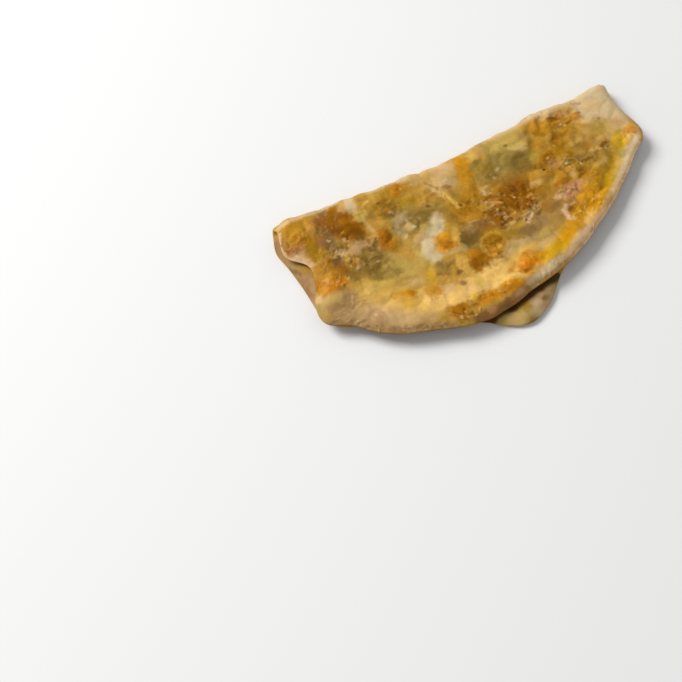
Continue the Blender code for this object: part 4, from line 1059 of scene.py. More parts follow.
@dataclass(frozen=True)
class Crinkle:
    """Broken curved ridges and small pits, drawn from noise, for the rough areas.

    A ridge follows the line where one noise is near 0, and is left out where a second noise is
    low. A pit lies where a third noise is low. The ridges are lightened as a painted highlight, and
    the pits darkened as painted shade.
    """

    length: float = 2.9
    break_length: float = 1.7
    pit_length: float = 1.8
    ridge_width: float = 0.16
    ridge_fade: float = 0.12
    break_level: float = -0.05
    break_fade: float = 0.3
    pit_level: float = 0.15
    pit_fade: float = 0.2
    # Shares by which the painted highlight lightens the ridges and the painted shade darkens the pits
    painted_highlight_share: float = 0.45
    painted_shade_share: float = 0.35
    ridge_height: float = 0.60
    pit_depth: float = 0.40

    def ridges(self, x: np.ndarray, out: np.ndarray) -> np.ndarray:
        """How much of a ridge there is at each point.

        Args:
            x: Place of each point along the fold.
            out: Distance of each point from the fold.

        Returns:
            A value for each point, 0 to 1.
        """
        line = np.abs(ripples(x, out, self.length, Pattern.RIDGES))
        kept = ripples(x, out, self.break_length, Pattern.RIDGE_BREAKS) - self.break_level
        return ease((self.ridge_width - line) / self.ridge_fade) * ease(kept / self.break_fade)

    def pits(self, x: np.ndarray, out: np.ndarray) -> np.ndarray:
        """How much of a pit there is at each point.

        Args:
            x: Place of each point along the fold.
            out: Distance of each point from the fold.

        Returns:
            A value for each point, 0 to 1.
        """
        depth = -ripples(x, out, self.pit_length, Pattern.PITS)
        return ease((depth - self.pit_level) / self.pit_fade)


@dataclass(frozen=True)
class BreadForm:
    """The folded bread's form, with the same sizes and the same rules as its solid.

    A bulge of the rim is a direction and a spread in degrees, and a reach. A sway of the fold is
    a place along it, a spread and a reach. A swell is its x and y, a radius and a height.
    """

    radius: float = 78.0
    rim_bulges: tuple[tuple[float, float, float], ...] = (
        (-7, 33, 11.3),
        (19.5, 6, 7.0),
        (28, 18, 7.3),
        (34, 5, -1.0),
        (109, 15, 7.0),
        (139, 20, 17.5),
        (145, 5, -1.5),
        (151, 7, 11.5),
        (170, 6, 8.5),
        (-22, 8, 4.5),
        (-62, 14, -3.5),
        (-93, 13, 12.5),
        (-127, 19, 8.0),
        (-149, 11, 16.5),
        (-168, 5, -1.2),
        (-170, 15, 14.3),
    )
    flap_thickness: float = 4.4
    rim_thickness: float = 3.6
    unfilled_rim: float = 10.0
    rim_rounding: float = 1.0
    rim_rounding_reach: float = 4.0
    rim_flattening: float = 0.2
    lip_direction: float = 166.0
    lip_spread: float = 14.0
    lip_thinning: float = 1.4
    lip_full_at: float = 12.0
    fold_gap: float = 0.8
    pressed_gap: float = 0.45
    pressed_from: float = 20.0
    mouth_lift: float = 0.5
    mouth_depth: float = 18.0
    mouth_waves: int = 3
    mouth_unevenness: float = 0.7
    fold_sways: tuple[tuple[float, float, float], ...] = (
        (-84, 16, 2.2),
        (-42, 14, -1.2),
        (-33, 5, -0.5),
        (-8, 22, -3.6),
        (20, 20, -1.4),
        (38, 6, -1.1),
        (48, 4, 1.0),
        (71, 7, -1.3),
        (89, 7, 1.8),
    )
    fold_sway_depth: float = 35.0
    swells: tuple[tuple[float, float, float, float], ...] = (
        (-27, 35, 8, 0.9),
        (-57, 14, 9, 0.6),
        (-43, 28, 7, 0.6),
        (-22, 46, 7, 0.5),
        (-9, 54, 8, 0.6),
        (19, 38, 10, 0.7),
        (65, 12, 10, 0.6),
        (38, 51, 8, 0.7),
        (-78, 37, 9, 0.6),
        (29, 16, 11, 0.5),
        (-46, 61, 9, 0.5),
    )
    relief_starts_at: float = 3.0
    relief_full_at: float = 12.0
    fold_band: float = 0.062
    crowding_to_rim: float = 0.2
    fold_line: float = 4.2

    @property
    def bend_radius(self) -> float:
        """Radius of the middle of the dough where it bends round the fold."""
        return (self.flap_thickness + self.fold_gap) / 2.0

    @property
    def half_bend(self) -> float:
        """Length of the open bread, to each side of its middle, that the bend takes up."""
        return self.bend_radius * math.pi / 2.0

    def rim_radius(self, direction: np.ndarray) -> np.ndarray:
        """Radius of the open bread.

        Args:
            direction: Degrees from the right end of the fold, over the top flap.

        Returns:
            The radius in each direction.
        """
        radius = np.full_like(direction, self.radius)
        for centre, spread, reach in self.rim_bulges:
            turn = (direction - centre + 180.0) % 360.0 - 180.0
            radius += reach * hump(turn, spread)
        return radius

    def open_place(
        self, across: np.ndarray, along: np.ndarray
    ) -> tuple[np.ndarray, np.ndarray, np.ndarray]:
        """Place points of the square sheet on the open bread.

        Args:
            across: Place over the sheet's columns, -1 to 1.
            along: Place over the sheet's rows, -1 to 1.

        Returns:
            x and y on the open bread, and the distance from its rim.
        """
        x = across * np.sqrt(1.0 - along * along / 2.0)
        y = along * np.sqrt(1.0 - across * across / 2.0)
        reach = np.hypot(x, y)
        direction = np.degrees(np.arctan2(y, x))
        radius = self.radius + (self.rim_radius(direction) - self.radius) * reach * reach
        rim_distance = radius * (1.0 - reach)
        return x * radius, y * radius, rim_distance

    def thinning(self, x: np.ndarray, y: np.ndarray, rim_distance: np.ndarray) -> np.ndarray:
        """How much thinner the top flap is along the edge rolled thin by the left end of the fold.

        Args:
            x: Place along the fold.
            y: Place across the open bread.
            rim_distance: Distance from the rim.

        Returns:
            The loss of thickness at each point.
        """
        from_lip = hump(np.degrees(np.arctan2(y, x)) - self.lip_direction, self.lip_spread)
        near_rim = ease(1.0 - rim_distance / self.unfilled_rim)
        return self.lip_thinning * from_lip * near_rim * ease(y / self.lip_full_at)

    def half_thickness(self, x: np.ndarray, y: np.ndarray, rim_distance: np.ndarray) -> np.ndarray:
        """Half the thickness of one flap, thinner where the filling stops short of the rim.

        Args:
            x: Place along the fold.
            y: Place across the open bread.
            rim_distance: Distance from the rim.

        Returns:
            Half the thickness at each point.
        """
        filled = ease(rim_distance / self.unfilled_rim)
        thickness = self.rim_thickness + (self.flap_thickness - self.rim_thickness) * filled
        return (thickness - self.thinning(x, y, rim_distance)) / 2.0

    def swell(self, x: np.ndarray, y: np.ndarray, rim_distance: np.ndarray) -> np.ndarray:
        """Height of the wide blisters and lumps of filling on the top flap.

        Args:
            x: Place along the fold.
            y: Place across the open bread.
            rim_distance: Distance from the rim.

        Returns:
            The height at each point.
        """
        height = np.zeros_like(x)
        for swell_x, swell_y, radius, reach in self.swells:
            height += reach * hump(np.hypot(x - swell_x, y - swell_y), radius)
        span = self.relief_full_at - self.relief_starts_at
        from_fold = ease((y - self.relief_starts_at) / span)
        return height * from_fold * ease(rim_distance / self.relief_full_at)

    def lift(self, x: np.ndarray, y: np.ndarray, rim_distance: np.ndarray) -> np.ndarray:
        """How far the top flap settles inwards of the fold and lifts at its rim.

        Args:
            x: Place along the fold.
            y: Place across the open bread.
            rim_distance: Distance from the rim.

        Returns:
            The lift at each point.
        """
        away_from_fold = ease(y / self.pressed_from)
        settled = (self.pressed_gap - self.fold_gap) * away_from_fold
        wave = 1.0 + self.mouth_unevenness * np.cos(2.0 * self.mouth_waves * np.arctan2(y, x))
        mouth = self.mouth_lift * wave * ease(1.0 - rim_distance / self.mouth_depth) * away_from_fold
        return settled + mouth - self.thinning(x, y, rim_distance) / 2.0

    def fold_over(
        self, x: np.ndarray, y: np.ndarray, outwards: np.ndarray, rim_distance: np.ndarray
    ) -> np.ndarray:
        """Bend points of the open bread round the fold line.

        Args:
            x: Place along the fold.
            y: Place across the open bread.
            outwards: Height over the middle of the dough, towards the skin that ends outside.
            rim_distance: Distance from the rim.

        Returns:
            One row of x, y and z for each point.
        """
        radius = self.bend_radius + outwards
        angle = np.clip(y, -self.half_bend, self.half_bend) / self.bend_radius
        beyond = np.maximum(np.abs(y) - self.half_bend, 0.0)
        folded_y = radius * np.cos(angle) - beyond
        folded_z = radius * np.sin(angle)
        folded_z += np.where(y > 0.0, self.lift(x, y, rim_distance), 0.0)
        for place, spread, reach in self.fold_sways:
            folded_y += reach * hump(x - place, spread) * hump(y, self.fold_sway_depth)
        return np.stack([x, folded_y, folded_z], axis=1)


@dataclass
class Skin:
    """Where each point of the bread's surface lies, for its relief and its tints.

    x, y and rim_distance are those on the open bread. side goes from -1 on the skin that ends
    inside to 1 on the one that ends outside. out is how far from the fold the point ends up.
    """

    x: np.ndarray
    y: np.ndarray
    side: np.ndarray
    rim_distance: np.ndarray
    out: np.ndarray

    @property
    def upper(self) -> np.ndarray:
        """True on the top flap."""
        return self.y > 0.0

    @property
    def outer(self) -> np.ndarray:
        """True on the skin that ends outside, and on the outer half of the rim."""
        return self.side > 0.0

    @property
    def top(self) -> np.ndarray:
        """True on the top flap's upper skin."""
        return self.upper & self.outer


@dataclass(frozen=True)
class UnderPatches:
    """Griddle patches of the flat underside, drawn at random from a fixed seed."""

    seed: int = 11
    count: int = 110
    sizes: tuple[float, float] = (2.5, 9.0)
    span_x: tuple[float, float] = (-88.0, 86.0)
    span_out: tuple[float, float] = (0.0, 84.0)
    stretch: tuple[float, float] = (0.9, 1.5)
    squeeze: tuple[float, float] = (0.6, 1.0)
    turns: tuple[float, float] = (-90.0, 90.0)
    strengths: tuple[float, float] = (0.5, 0.9)
    tints: tuple[Tint, ...] = (
        Tint.GOLDEN_TAN,
        Tint.GOLD,
        Tint.BROWN_GOLD,
        Tint.ORANGE_GOLD,
        Tint.OLIVE_GOLD,
        Tint.MAUVE_BEIGE,
        Tint.BROWN,
        Tint.CREAM,
    )

    def draw(self) -> list[Patch]:
        """Draw the patches.

        Returns:
            The patches, the first of them lowest.
        """
        chance = np.random.default_rng(self.seed)
        patches = []
        for _ in range(self.count):
            size = chance.uniform(*self.sizes)
            patches.append(
                Patch(
                    x=chance.uniform(*self.span_x),
                    out=chance.uniform(*self.span_out),
                    along=size * chance.uniform(*self.stretch),
                    across=size * chance.uniform(*self.squeeze),
                    turn=chance.uniform(*self.turns),
                    tint=self.tints[int(chance.integers(len(self.tints)))],
                    strength=chance.uniform(*self.strengths),
                )
            )
        return patches


@dataclass(frozen=True)
class SkinPaint:
    """Lays the marks over the plain dough, with edges made ragged by noise.

    Marks smaller than loose_size are shifted less, so that they stay whole.
    """

    wander: float = 1.0
    wander_length: float = 7.0
    fray: float = 0.6
    fray_length: float = 2.6
    loose_size: float = 4.0
    crumble: float = 0.30
    crumble_length: float = 1.25
    # Painted shade: the top flap's underside and the lower half of its rim are darkened towards this tint,
    # for the shade in the gap between the flaps
    underside_painted_shade: Tint = Tint.DARK_BROWN
    underside_painted_shade_share: float = 0.8
    underside: UnderPatches = UnderPatches()
    crinkle: Crinkle = Crinkle()
    facets: Facets = Facets()

    def shift(self, skin: Skin) -> tuple[np.ndarray, np.ndarray]:
        """Noise that shifts the points, so that a smooth mark gets an uneven edge.

        Args:
            skin: The points.

        Returns:
            The shifts of x and out.
        """
        wanders = (Pattern.WANDER_X, Pattern.WANDER_OUT)
        wander_x, wander_out = sway(skin.x, skin.y, self.wander, self.wander_length, wanders)
        frays = (Pattern.FRAY_X, Pattern.FRAY_OUT)
        fray_x, fray_out = sway(skin.x, skin.y, self.fray, self.fray_length, frays)
        return wander_x + fray_x, wander_out + fray_out

    def roughen(self, skin: Skin, tint: np.ndarray) -> np.ndarray:
        """Tint the rough areas of the top flap in place: painted highlights on the ridges, painted shade in
        the pits.

        Args:
            skin: The points.
            tint: The linear colour row of each point.

        Returns:
            The height that the ridges and pits add at each point.
        """
        top = skin.top
        x, out = skin.x[top], skin.out[top]
        ridge = self.crinkle.ridges(x, out)
        pit = self.crinkle.pits(x, out)
        rough = np.zeros_like(x)
        painted = tint[top]
        for area in ROUGH_AREAS:
            cover = area.cover(x, out)
            # Painted shade in the pits, then a painted highlight on the ridges in the area's tint
            pit_painted_shade = self.crinkle.painted_shade_share * cover * pit
            painted += pit_painted_shade[:, None] * (Tint.SHADE.colour - painted)
            ridge_painted_highlight = self.crinkle.painted_highlight_share * cover * ridge
            painted += ridge_painted_highlight[:, None] * (area.tint.colour - painted)
            rough = np.maximum(rough, cover)
        tint[top] = painted
        height = np.zeros_like(skin.x)
        height[top] = rough * (self.crinkle.ridge_height * ridge - self.crinkle.pit_depth * pit)
        return height

    def lay(self, skin: Skin) -> tuple[np.ndarray, np.ndarray, np.ndarray]:
        """Paint every point.

        Args:
            skin: The points.

        Returns:
            A linear colour row for each point, how crisp and grainy it is, and its crinkles' height.
        """
        shift_x, shift_out = self.shift(skin)
        way_x, way_out, shade = self.facets.find(skin.x, skin.out)
        pull = np.where(skin.upper, self.facets.pull, 0.0)
        shift_x = shift_x + pull * way_x
        shift_out = shift_out + pull * way_out
        crumble = np.where(skin.upper, self.crumble, 0.0)
        crumbles = (Pattern.CRUMBLE_X, Pattern.CRUMBLE_OUT)
        crumble_x, crumble_out = sway(skin.x, skin.out, crumble, self.crumble_length, crumbles)
        tint = np.tile(Tint.DOUGH.colour, (len(skin.x), 1))
        crust = np.full(len(skin.x), Tint.DOUGH.crust)
        under = ~skin.upper & skin.outer
        inner = ~skin.upper & ~skin.outer
        # Where the painted shade goes: the top flap's underside and the lower half of its rim
        underside_painted_shade = skin.upper & ~skin.outer
        from_fold = np.where(under, -skin.y, skin.out)
        for where, marks in ((under, self.underside.draw()), (skin.top, TOP_MARKS), (inner, INNER_MARKS)):
            for mark in marks:
                loose = min(mark.size / self.loose_size, 1.0) ** 2
                x = skin.x[where] + crumble_x[where] + loose * shift_x[where]
                out = from_fold[where] + crumble_out[where] + loose * shift_out[where]
                cover = mark.cover(x, out)
                tint[where] += cover[:, None] * (mark.tint.colour - tint[where])
                crust[where] += cover * (mark.tint.crust - crust[where])
        # Painted shade under the top flap and its rim
        tint[underside_painted_shade] += self.underside_painted_shade_share * (self.underside_painted_shade.colour - tint[underside_painted_shade])
        shade = np.where(skin.upper, shade, 0.0)
        tint *= (1.0 + self.facets.shade * shade * (self.facets.plain_share + crust))[:, None]
        return tint, crust, self.roughen(skin, tint)


def add_node(
    tree: bpy.types.NodeTree,
    kind: str,
    settings: dict[str, object] | None = None,
    values: dict[str | int, object] | None = None,
    links: dict[str | int, bpy.types.NodeSocket] | None = None,
) -> bpy.types.Node:
    """Add one node to a tree.

    Args:
        tree: The tree that it goes in.
        kind: Blender's name of its type.
        settings: Its properties, by name.
        values: Its inputs' own values, by name or number.
        links: The outputs that feed its inputs, by the input's name or number.

    Returns:
        The node.
    """
    node = tree.nodes.new(kind)
    for name, setting in (settings or {}).items():
        setattr(node, name, setting)
    for name, value in (values or {}).items():
        node.inputs[name].default_value = value
    for name, output in (links or {}).items():
        tree.links.new(output, node.inputs[name])
    return node


@dataclass(frozen=True)
class Grain:
    """One kind of grain: the span of noise over which it comes in, and how it tones the tint.

    A dark tone is painted shade on the sunken grains, and a pale tone a painted glint on the raised ones.
    """

    absent_at: float
    full_at: float
    tone: tuple[float, float, float, float]

    def lay(
        self,
        tree: bpy.types.NodeTree,
        grains: bpy.types.NodeSocket,
        crust: bpy.types.NodeSocket,
        beneath: bpy.types.NodeSocket,
    ) -> bpy.types.NodeSocket:
        """Multiply the colour beneath by the tone on the grains, the more the crisper the dough is.

        Args:
            tree: The material's nodes.
            grains: The grains' noise.
            crust: How crisp the dough is.
            beneath: The colour so far.

        Returns:
            The colour with the grains.
        """
        grain = add_node(
            tree,
            "ShaderNodeMapRange",
            {"interpolation_type": "SMOOTHSTEP"},
            {"From Min": self.absent_at, "From Max": self.full_at},
            {"Value": grains},
        )
        share = add_node(
            tree,
            "ShaderNodeMath",
            {"operation": "MULTIPLY"},
            links={0: grain.outputs["Result"], 1: crust},
        )
        toned = add_node(
            tree,
            "ShaderNodeMix",
            {"data_type": "RGBA", "blend_type": "MULTIPLY"},
            {7: self.tone},
            {"Factor": share.outputs["Value"], 6: beneath},
        )
        return toned.outputs[2]


@dataclass(frozen=True)
class GriddledDough:
    """Wheat dough, rolled thin, browned on a griddle and lightly oiled.

    To the eye it is a soft, slightly see-through skin with a thin sheen of oil. It is grainy and
    matt where it browned, and smooth and paler where it stayed clear of the griddle. Plain dough
    keeps the share detail_on_plain of the mottle and of the pores.

    Sizes and depths are in millimetres. The dark and pale colours multiply the tint beneath; the
    pale grains are a painted glint on the raised grains, and the dark grains painted shade on the
    sunken ones. A field that ends in at is the noise where its part is full.
    """

    name: str = "Griddled wheat dough"
    mottle_size: float = 3.6
    mottle_swirl: float = 1.4
    detail_on_plain: float = 0.3
    dark_mottle_at: float = 0.30
    dark_mottle: tuple[float, float, float, float] = (0.78, 0.755, 0.60, 1.0)
    pale_mottle_at: float = 0.70
    pale_mottle: tuple[float, float, float, float] = (1.14, 1.13, 1.10, 1.0)
    grain_size: float = 1.3
    # The dark grains are painted shade on the sunken grains, the pale ones a painted glint on the raised
    # grains
    painted_grain_shade: Grain = Grain(0.43, 0.30, (0.80, 0.775, 0.64, 1.0))
    painted_grain_glint: Grain = Grain(0.60, 0.74, (1.20, 1.18, 1.14, 1.0))
    grain_relief: float = 0.35
    grain_depth: float = 0.3
    pore_size: float = 0.55
    pore_relief: float = 0.2
    pore_depth: float = 0.08
    roughness: float = 0.40
    smoothest_at: float = 0.3
    smoother_by: float = 0.08
    roughest_at: float = 0.7
    rougher_by: float = 0.14
    dough_ior: float = 1.45
    sheen_of_surface: float = 0.12
    sheen_colour: str = "ffe2b4"
    oil_coat: float = 0.05
    oil_roughness: float = 0.25
    glow: float = 0.08
    glow_depth: float = 1.0
    glow_spread: tuple[float, float, float] = (1.0, 0.55, 0.25)

    def mottled(
        self,
        tree: bpy.types.NodeTree,
        place: bpy.types.NodeSocket,
        detail_share: bpy.types.NodeSocket,
    ) -> bpy.types.NodeSocket:
        """Take the painted tint and mottle it softly.

        Args:
            tree: The material's nodes.
            place: The place on the bread.
            detail_share: How far the mottle tones the tint.

        Returns:
            The mottled tint.
        """
        paint = add_node(tree, "ShaderNodeAttribute", {"attribute_name": "tint"})
        mottle = add_node(
            tree,
            "ShaderNodeTexNoise",
            values={
                "Scale": 1.0 / (self.mottle_size * MM),
                "Detail": 3.0,
                "Roughness": 0.55,
                "Distortion": self.mottle_swirl,
            },
            links={"Vector": place},
        )
        shades = add_node(tree, "ShaderNodeValToRGB", links={"Fac": mottle.outputs["Fac"]})
        dark, pale = shades.color_ramp.elements
        dark.position = self.dark_mottle_at
        dark.color = self.dark_mottle
        pale.position = self.pale_mottle_at
        pale.color = self.pale_mottle
        shaded = add_node(
            tree,
            "ShaderNodeMix",
            {"data_type": "RGBA", "blend_type": "MULTIPLY"},
            links={"Factor": detail_share, 6: paint.outputs["Color"], 7: shades.outputs["Color"]},
        )
        return shaded.outputs[2]

    def relief(
        self,
        tree: bpy.types.NodeTree,
        place: bpy.types.NodeSocket,
        detail_share: bpy.types.NodeSocket,
        grains: bpy.types.NodeSocket,
        crust: bpy.types.NodeSocket,
    ) -> bpy.types.NodeSocket:
        """Add fine pores all over, and grains where the dough is crisp.

        Args:
            tree: The material's nodes.
            place: The place on the bread.
            detail_share: How deep the pores are.
            grains: The grains' noise.
            crust: How crisp the dough is.

        Returns:
            The direction that the surface faces.
        """
        pores = add_node(
            tree,
            "ShaderNodeTexNoise",
            values={"Scale": 1.0 / (self.pore_size * MM), "Detail": 2.0},
            links={"Vector": place},
        )
        pore_height = add_node(
            tree,
            "ShaderNodeMath",
            {"operation": "MULTIPLY"},
            links={0: pores.outputs["Fac"], 1: detail_share},
        )
        pore_bump = add_node(
            tree,
            "ShaderNodeBump",
            values={"Strength": self.pore_relief, "Distance": self.pore_depth * MM},
            links={"Height": pore_height.outputs["Value"]},
        )
        grain_height = add_node(
            tree,
            "ShaderNodeMath",
            {"operation": "MULTIPLY"},
            links={0: grains, 1: crust},
        )
        grain_bump = add_node(
            tree,
            "ShaderNodeBump",
            values={"Strength": self.grain_relief, "Distance": self.grain_depth * MM},
            links={"Height": grain_height.outputs["Value"], "Normal": pore_bump.outputs["Normal"]},
        )
        return grain_bump.outputs["Normal"]

    def make(self) -> bpy.types.Material:
        """Build the material's nodes.

        Returns:
            The material.
        """
        material = bpy.data.materials.new(self.name)
        material.use_nodes = True
        tree = material.node_tree
        shader = tree.nodes["Principled BSDF"]
        place = add_node(tree, "ShaderNodeTexCoord").outputs["Object"]
        crust = add_node(tree, "ShaderNodeAttribute", {"attribute_name": "crust"}).outputs["Fac"]
        detail_share = add_node(
            tree,
            "ShaderNodeMapRange",
            values={"To Min": self.detail_on_plain},
            links={"Value": crust},
        ).outputs["Result"]
        grains = add_node(
            tree,
            "ShaderNodeTexNoise",
            values={"Scale": 1.0 / (self.grain_size * MM), "Detail": 2.0, "Roughness": 0.6},
            links={"Vector": place},
        ).outputs["Fac"]
        dull = add_node(
            tree,
            "ShaderNodeMapRange",
            values={
                "From Min": self.smoothest_at,
                "From Max": self.roughest_at,
                "To Min": self.roughness - self.smoother_by,
                "To Max": self.roughness + self.rougher_by,
            },
            links={"Value": grains},
        )
        oil = add_node(tree, "ShaderNodeMapRange", values={"To Max": self.oil_coat}, links={"Value": crust})
        colour = self.mottled(tree, place, detail_share)
        # Painted shade on the sunken grains, then painted glints on the raised ones
        colour = self.painted_grain_shade.lay(tree, grains, crust, colour)
        colour = self.painted_grain_glint.lay(tree, grains, crust, colour)
        facing = self.relief(tree, place, detail_share, grains, crust)
        tree.links.new(colour, shader.inputs["Base Color"])
        tree.links.new(facing, shader.inputs["Normal"])
        tree.links.new(dull.outputs["Result"], shader.inputs["Roughness"])
        tree.links.new(oil.outputs["Result"], shader.inputs["Coat Weight"])
        shader.inputs["IOR"].default_value = self.dough_ior
        shader.inputs["Specular IOR Level"].default_value = self.sheen_of_surface
        shader.inputs["Specular Tint"].default_value = linear(self.sheen_colour)
        shader.inputs["Coat Roughness"].default_value = self.oil_roughness
        shader.inputs["Subsurface Weight"].default_value = self.glow
        shader.inputs["Subsurface Radius"].default_value = self.glow_spread
        shader.inputs["Subsurface Scale"].default_value = self.glow_depth * MM
        return material


@dataclass
class FoldedBread:
    """The bread: a fine sheet with two skins and a round rim, folded like its solid."""

    node: str = "bobbatlu"
    columns: int = 320
    under_rows: int = 46
    under_rim_rows: int = 20
    under_rim_share: float = 0.18
    fold_rows: int = 16
    top_rows: int = 164
    rim_steps: int = 6
    hidden_side: float = -0.99
    hidden_share: float = 0.03
    top_mouth: float = 4.0
    under_mouth: float = 14.0
    middle_radius: float = 1.0
    rim_wobble: float = 0.35
    rim_wobble_length: float = 9.0
    rim_relief: float = 0.3
    rim_relief_width: float = 6.0
    plain_relief: float = 0.25
    crust_height: float = 0.36
    crust_length: float = 2.8
    patch_rise: float = 0.35
    wrinkle_height: float = 3.3
    wrinkle_length: float = 7.5
    wrinkle_level: float = 0.3
    lump_height: float = 0.60
    lump_length: float = 9.0
    shoulder_drop: float = 1.1
    shoulder_width: float = 5.0
    form: BreadForm = field(default_factory=BreadForm)
    paint: SkinPaint = field(default_factory=SkinPaint)
    finish: GriddledDough = field(default_factory=GriddledDough)

    @property
    def rows(self) -> int:
        """Rows of the whole sheet."""
        return self.under_rows + self.fold_rows + self.top_rows

    def sheet(self) -> bpy.types.Object:
        """A flat square sheet of squares, 2 wide and 1 thick, closed all round.

        Returns:
            The sheet's object.
        """
        bpy.ops.mesh.primitive_grid_add(x_subdivisions=self.columns, y_subdivisions=self.rows, size=2.0)
        bread = bpy.context.object
        bread.name = "Folded_bread"
        bpy.ops.object.mode_set(mode="EDIT")
        bpy.ops.mesh.select_all(action="SELECT")
        step = (0.0, 0.0, 1.0 / self.rim_steps)
        for _ in range(self.rim_steps):
            bpy.ops.mesh.extrude_region_move(TRANSFORM_OT_translate={"value": step})
        bpy.ops.object.mode_set(mode="OBJECT")
        return bread

    def along(self, row: np.ndarray) -> np.ndarray:
        """Share the rows out: most for the top flap, some for the bend, fewer beneath.

        Args:
            row: Place over the sheet's even rows, -1 to 1.

        Returns:
            Place over the open bread, -1 to 1.
        """
        number = (row + 1.0) / 2.0 * self.rows
        band = self.form.fold_band
        ends = [0.0, self.under_rim_rows, self.under_rows, self.under_rows + self.fold_rows, self.rows]
        return np.interp(number, ends, [-1.0, self.under_rim_share - 1.0, -band, band, 1.0])

    def lay_out(self, sheet_points: np.ndarray) -> tuple[Skin, np.ndarray]:
        """Find where the sheet's points lie on the open bread.

        Args:
            sheet_points: One row of column, row and layer for each point.

        Returns:
            The skin, and each point's height over the middle of the dough.
        """
        form = self.form
        column, row, layer = sheet_points.T
        across = column * (1.0 + form.crowding_to_rim * (1.0 - column * column))
        x, y, rim_distance = form.open_place(across, self.along(row))
        side = 2.0 * layer - 1.0
        inset = form.rim_rounding * side**2 * np.exp(-rim_distance / form.rim_rounding_reach)
        wobble = self.rim_wobble * NOISE_GAIN * ripples(x, y, self.rim_wobble_length, Pattern.RIM_WOBBLE)
        shift = wobble * np.exp(-rim_distance / self.rim_wobble_length) - inset
        from_middle = np.maximum(np.hypot(x, y), self.middle_radius)
        x = x * (1.0 + shift / from_middle)
        y = y * (1.0 + shift / from_middle)
        flattening = form.rim_flattening * side**2 * np.exp(-rim_distance / form.rim_rounding)
        outwards = side * form.half_thickness(x, y, rim_distance) * (1.0 - flattening)
        flat = form.fold_over(x, y, outwards, rim_distance)
        skin = Skin(x=x, y=y, side=side, rim_distance=rim_distance, out=form.fold_line - flat[:, 1])
        return skin, outwards

    def relief(self, skin: Skin, crust: np.ndarray) -> np.ndarray:
        """Height of all that stands up from the smooth skin.

        Args:
            skin: The points.
            crust: How crisp and grainy each point is.

        Returns:
            The height at each point.
        """
        top = skin.top
        height = np.zeros_like(skin.x)
        x, y, rim_distance = skin.x[top], skin.y[top], skin.rim_distance[top]
        wide = self.form.swell(x, y, rim_distance)
        lumps = self.lump_height * ripples(x, y, self.lump_length, Pattern.LUMPS)
        folds = np.abs(ripples(x, y, self.wrinkle_length, Pattern.WRINKLES)) - self.wrinkle_level
        grains = self.crust_height * ripples(x, y, self.crust_length, Pattern.GRAINS)
        share = self.plain_relief + (1.0 - self.plain_relief) * crust[top]
        fine = (self.wrinkle_height * folds + grains) * share + self.patch_rise * crust[top]
        for blister in BLISTERS:
            fine = fine + blister.height(x, skin.out[top])
        inwards = ease(rim_distance / self.rim_relief_width)
        height[top] = wide + (lumps + fine) * (self.rim_relief + (1.0 - self.rim_relief) * inwards)
        return height

    def shoulder(self, skin: Skin) -> np.ndarray:
        """Round the upper side of both flaps down towards the rim.

        Args:
            skin: The points.

        Returns:
            The change in each point's height over the middle of the dough.
        """
        drop = self.shoulder_drop * np.clip(1.0 - skin.rim_distance / self.shoulder_width, 0.0, 1.0) ** 2
        facing = np.where(skin.upper, skin.side, -skin.side)
        return -np.where(skin.upper, 1.0, -1.0) * drop * (1.0 + facing) / 2.0

    def thin_out(self, bread: bpy.types.Object, hidden: np.ndarray) -> None:
        """Thin out the faces shut in between the flaps.

        Args:
            bread: The bread's object.
            hidden: True for each vertex that is shut in.
        """
        mesh = bread.data
        bpy.ops.object.mode_set(mode="EDIT")
        bpy.ops.mesh.select_mode(type="FACE")
        bpy.ops.mesh.select_all(action="DESELECT")
        bpy.ops.object.mode_set(mode="OBJECT")
        corners = np.empty(len(mesh.polygons) * 4, dtype=np.int32)
        mesh.polygons.foreach_get("vertices", corners)
        mesh.polygons.foreach_set("select", hidden[corners.reshape(-1, 4)].all(axis=1))
        bpy.ops.object.mode_set(mode="EDIT")
        bpy.ops.mesh.decimate(ratio=self.hidden_share)
        bpy.ops.mesh.select_all(action="SELECT")
        bpy.ops.mesh.normals_make_consistent(inside=False)
        bpy.ops.object.mode_set(mode="OBJECT")

    def stand(self, points: np.ndarray) -> np.ndarray:
        """Move the points so that the bread stands where its solid does.

        Args:
            points: One row of x, y and z for each point, in millimetres.

        Returns:
            The rows in metres, in the frame.
        """
        low, high = (np.array(corner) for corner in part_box(self.node))
        metres = points * MM
        shift = (low + high) / 2.0 - (metres.min(axis=0) + metres.max(axis=0)) / 2.0
        shift[2] = low[2] - metres[:, 2].min()
        return metres + shift

    def build(self) -> bpy.types.Object:
        """Model, paint and dress the bread.

        Returns:
            The bread's object.
        """
        bread = self.sheet()
        mesh = bread.data
        sheet_points = np.empty(len(mesh.vertices) * 3)
        mesh.vertices.foreach_get("co", sheet_points)
        skin, outwards = self.lay_out(sheet_points.reshape(-1, 3))
        tint, crust, crinkles = self.paint.lay(skin)
        outwards = outwards + self.relief(skin, crust) + crinkles + self.shoulder(skin)
        points = self.form.fold_over(skin.x, skin.y, outwards, skin.rim_distance)
        mesh.vertices.foreach_set("co", self.stand(points).ravel())
        mesh.color_attributes.new("tint", "FLOAT_COLOR", "POINT").data.foreach_set("color", tint.ravel())
        mesh.attributes.new("crust", "FLOAT", "POINT").data.foreach_set("value", crust)
        mouth = np.where(skin.upper, self.top_mouth, self.under_mouth)
        self.thin_out(bread, (skin.side < self.hidden_side) & (skin.rim_distance > mouth))
        mesh.shade_smooth()
        mesh.materials.clear()
        mesh.materials.append(self.finish.make())
        mesh.update()
        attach(bread, "root")
        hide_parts(self.node)
        LOG.info("%s: %d points, %d faces", bread.name, len(mesh.vertices), len(mesh.polygons))
        return bread


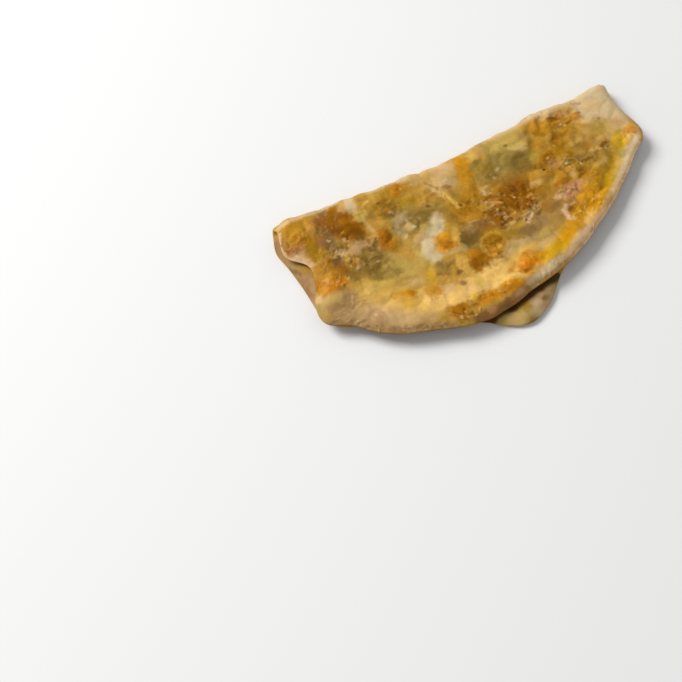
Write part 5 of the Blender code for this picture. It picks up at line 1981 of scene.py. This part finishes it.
@dataclass(frozen=True)
class Studio:
    """Pale floor, soft light and a camera at the photograph's angle.

    camera_place is in millimetres, and the other lengths are in metres.
    """

    floor_size: float = 3.0
    floor_colour: str = "ebebea"
    floor_roughness: float = 0.8
    camera_place: tuple[float, float, float] = (-154.4, -153.6, 382.9)
    camera_tilt: float = 22.0
    camera_heading: float = -27.0
    camera_view: float = 40.0
    camera_near: float = 0.01
    key_place: tuple[float, float, float] = (-0.96, 1.12, 1.31)
    key_size: float = 0.9
    key_power: float = 38.5
    sky_colour: str = "ffffff"
    sky_strength: float = 0.42

    def floor(self) -> bpy.types.Object:
        """Lay the floor.

        Returns:
            The floor's object.
        """
        bpy.ops.mesh.primitive_plane_add(size=self.floor_size)
        floor = bpy.context.object
        floor.name = "Floor"
        material = bpy.data.materials.new("Pale matt floor")
        material.use_nodes = True
        shader = material.node_tree.nodes["Principled BSDF"]
        shader.inputs["Base Color"].default_value = linear(self.floor_colour)
        shader.inputs["Roughness"].default_value = self.floor_roughness
        floor.data.materials.append(material)
        return floor

    def light(self) -> None:
        """Set the soft key light and the even light from all round."""
        bpy.ops.object.light_add(type="AREA", location=self.key_place)
        key = bpy.context.object
        key.name = "Key light"
        key.data.size = self.key_size
        key.data.energy = self.key_power
        key.rotation_euler = (-Vector(self.key_place)).to_track_quat("-Z", "Y").to_euler()
        world = bpy.data.worlds.new("Soft studio")
        world.use_nodes = True
        background = world.node_tree.nodes["Background"]
        background.inputs["Color"].default_value = linear(self.sky_colour)
        background.inputs["Strength"].default_value = self.sky_strength
        bpy.context.scene.world = world

    def camera(self) -> bpy.types.Object:
        """Stand the camera where the photograph was taken from.

        Returns:
            The camera's object.
        """
        bpy.ops.object.camera_add(
            location=[value * MM for value in self.camera_place],
            rotation=(math.radians(self.camera_tilt), 0.0, math.radians(self.camera_heading)),
        )
        camera = bpy.context.object
        camera.name = "Camera"
        camera.data.angle = math.radians(self.camera_view)
        camera.data.clip_start = self.camera_near
        bpy.context.scene.camera = camera
        return camera

    def build(self) -> None:
        """Set up the floor, the light, the camera and the plain view transform."""
        self.floor()
        self.light()
        self.camera()
        bpy.context.scene.view_settings.view_transform = "Standard"


def main() -> None:
    """Build the bread and the studio."""
    logging.basicConfig(level=logging.INFO, format="%(name)s: %(message)s")
    bpy.ops.object.select_all(action="DESELECT")
    FoldedBread().build()
    Studio().build()


if __name__ == "__main__":
    main()
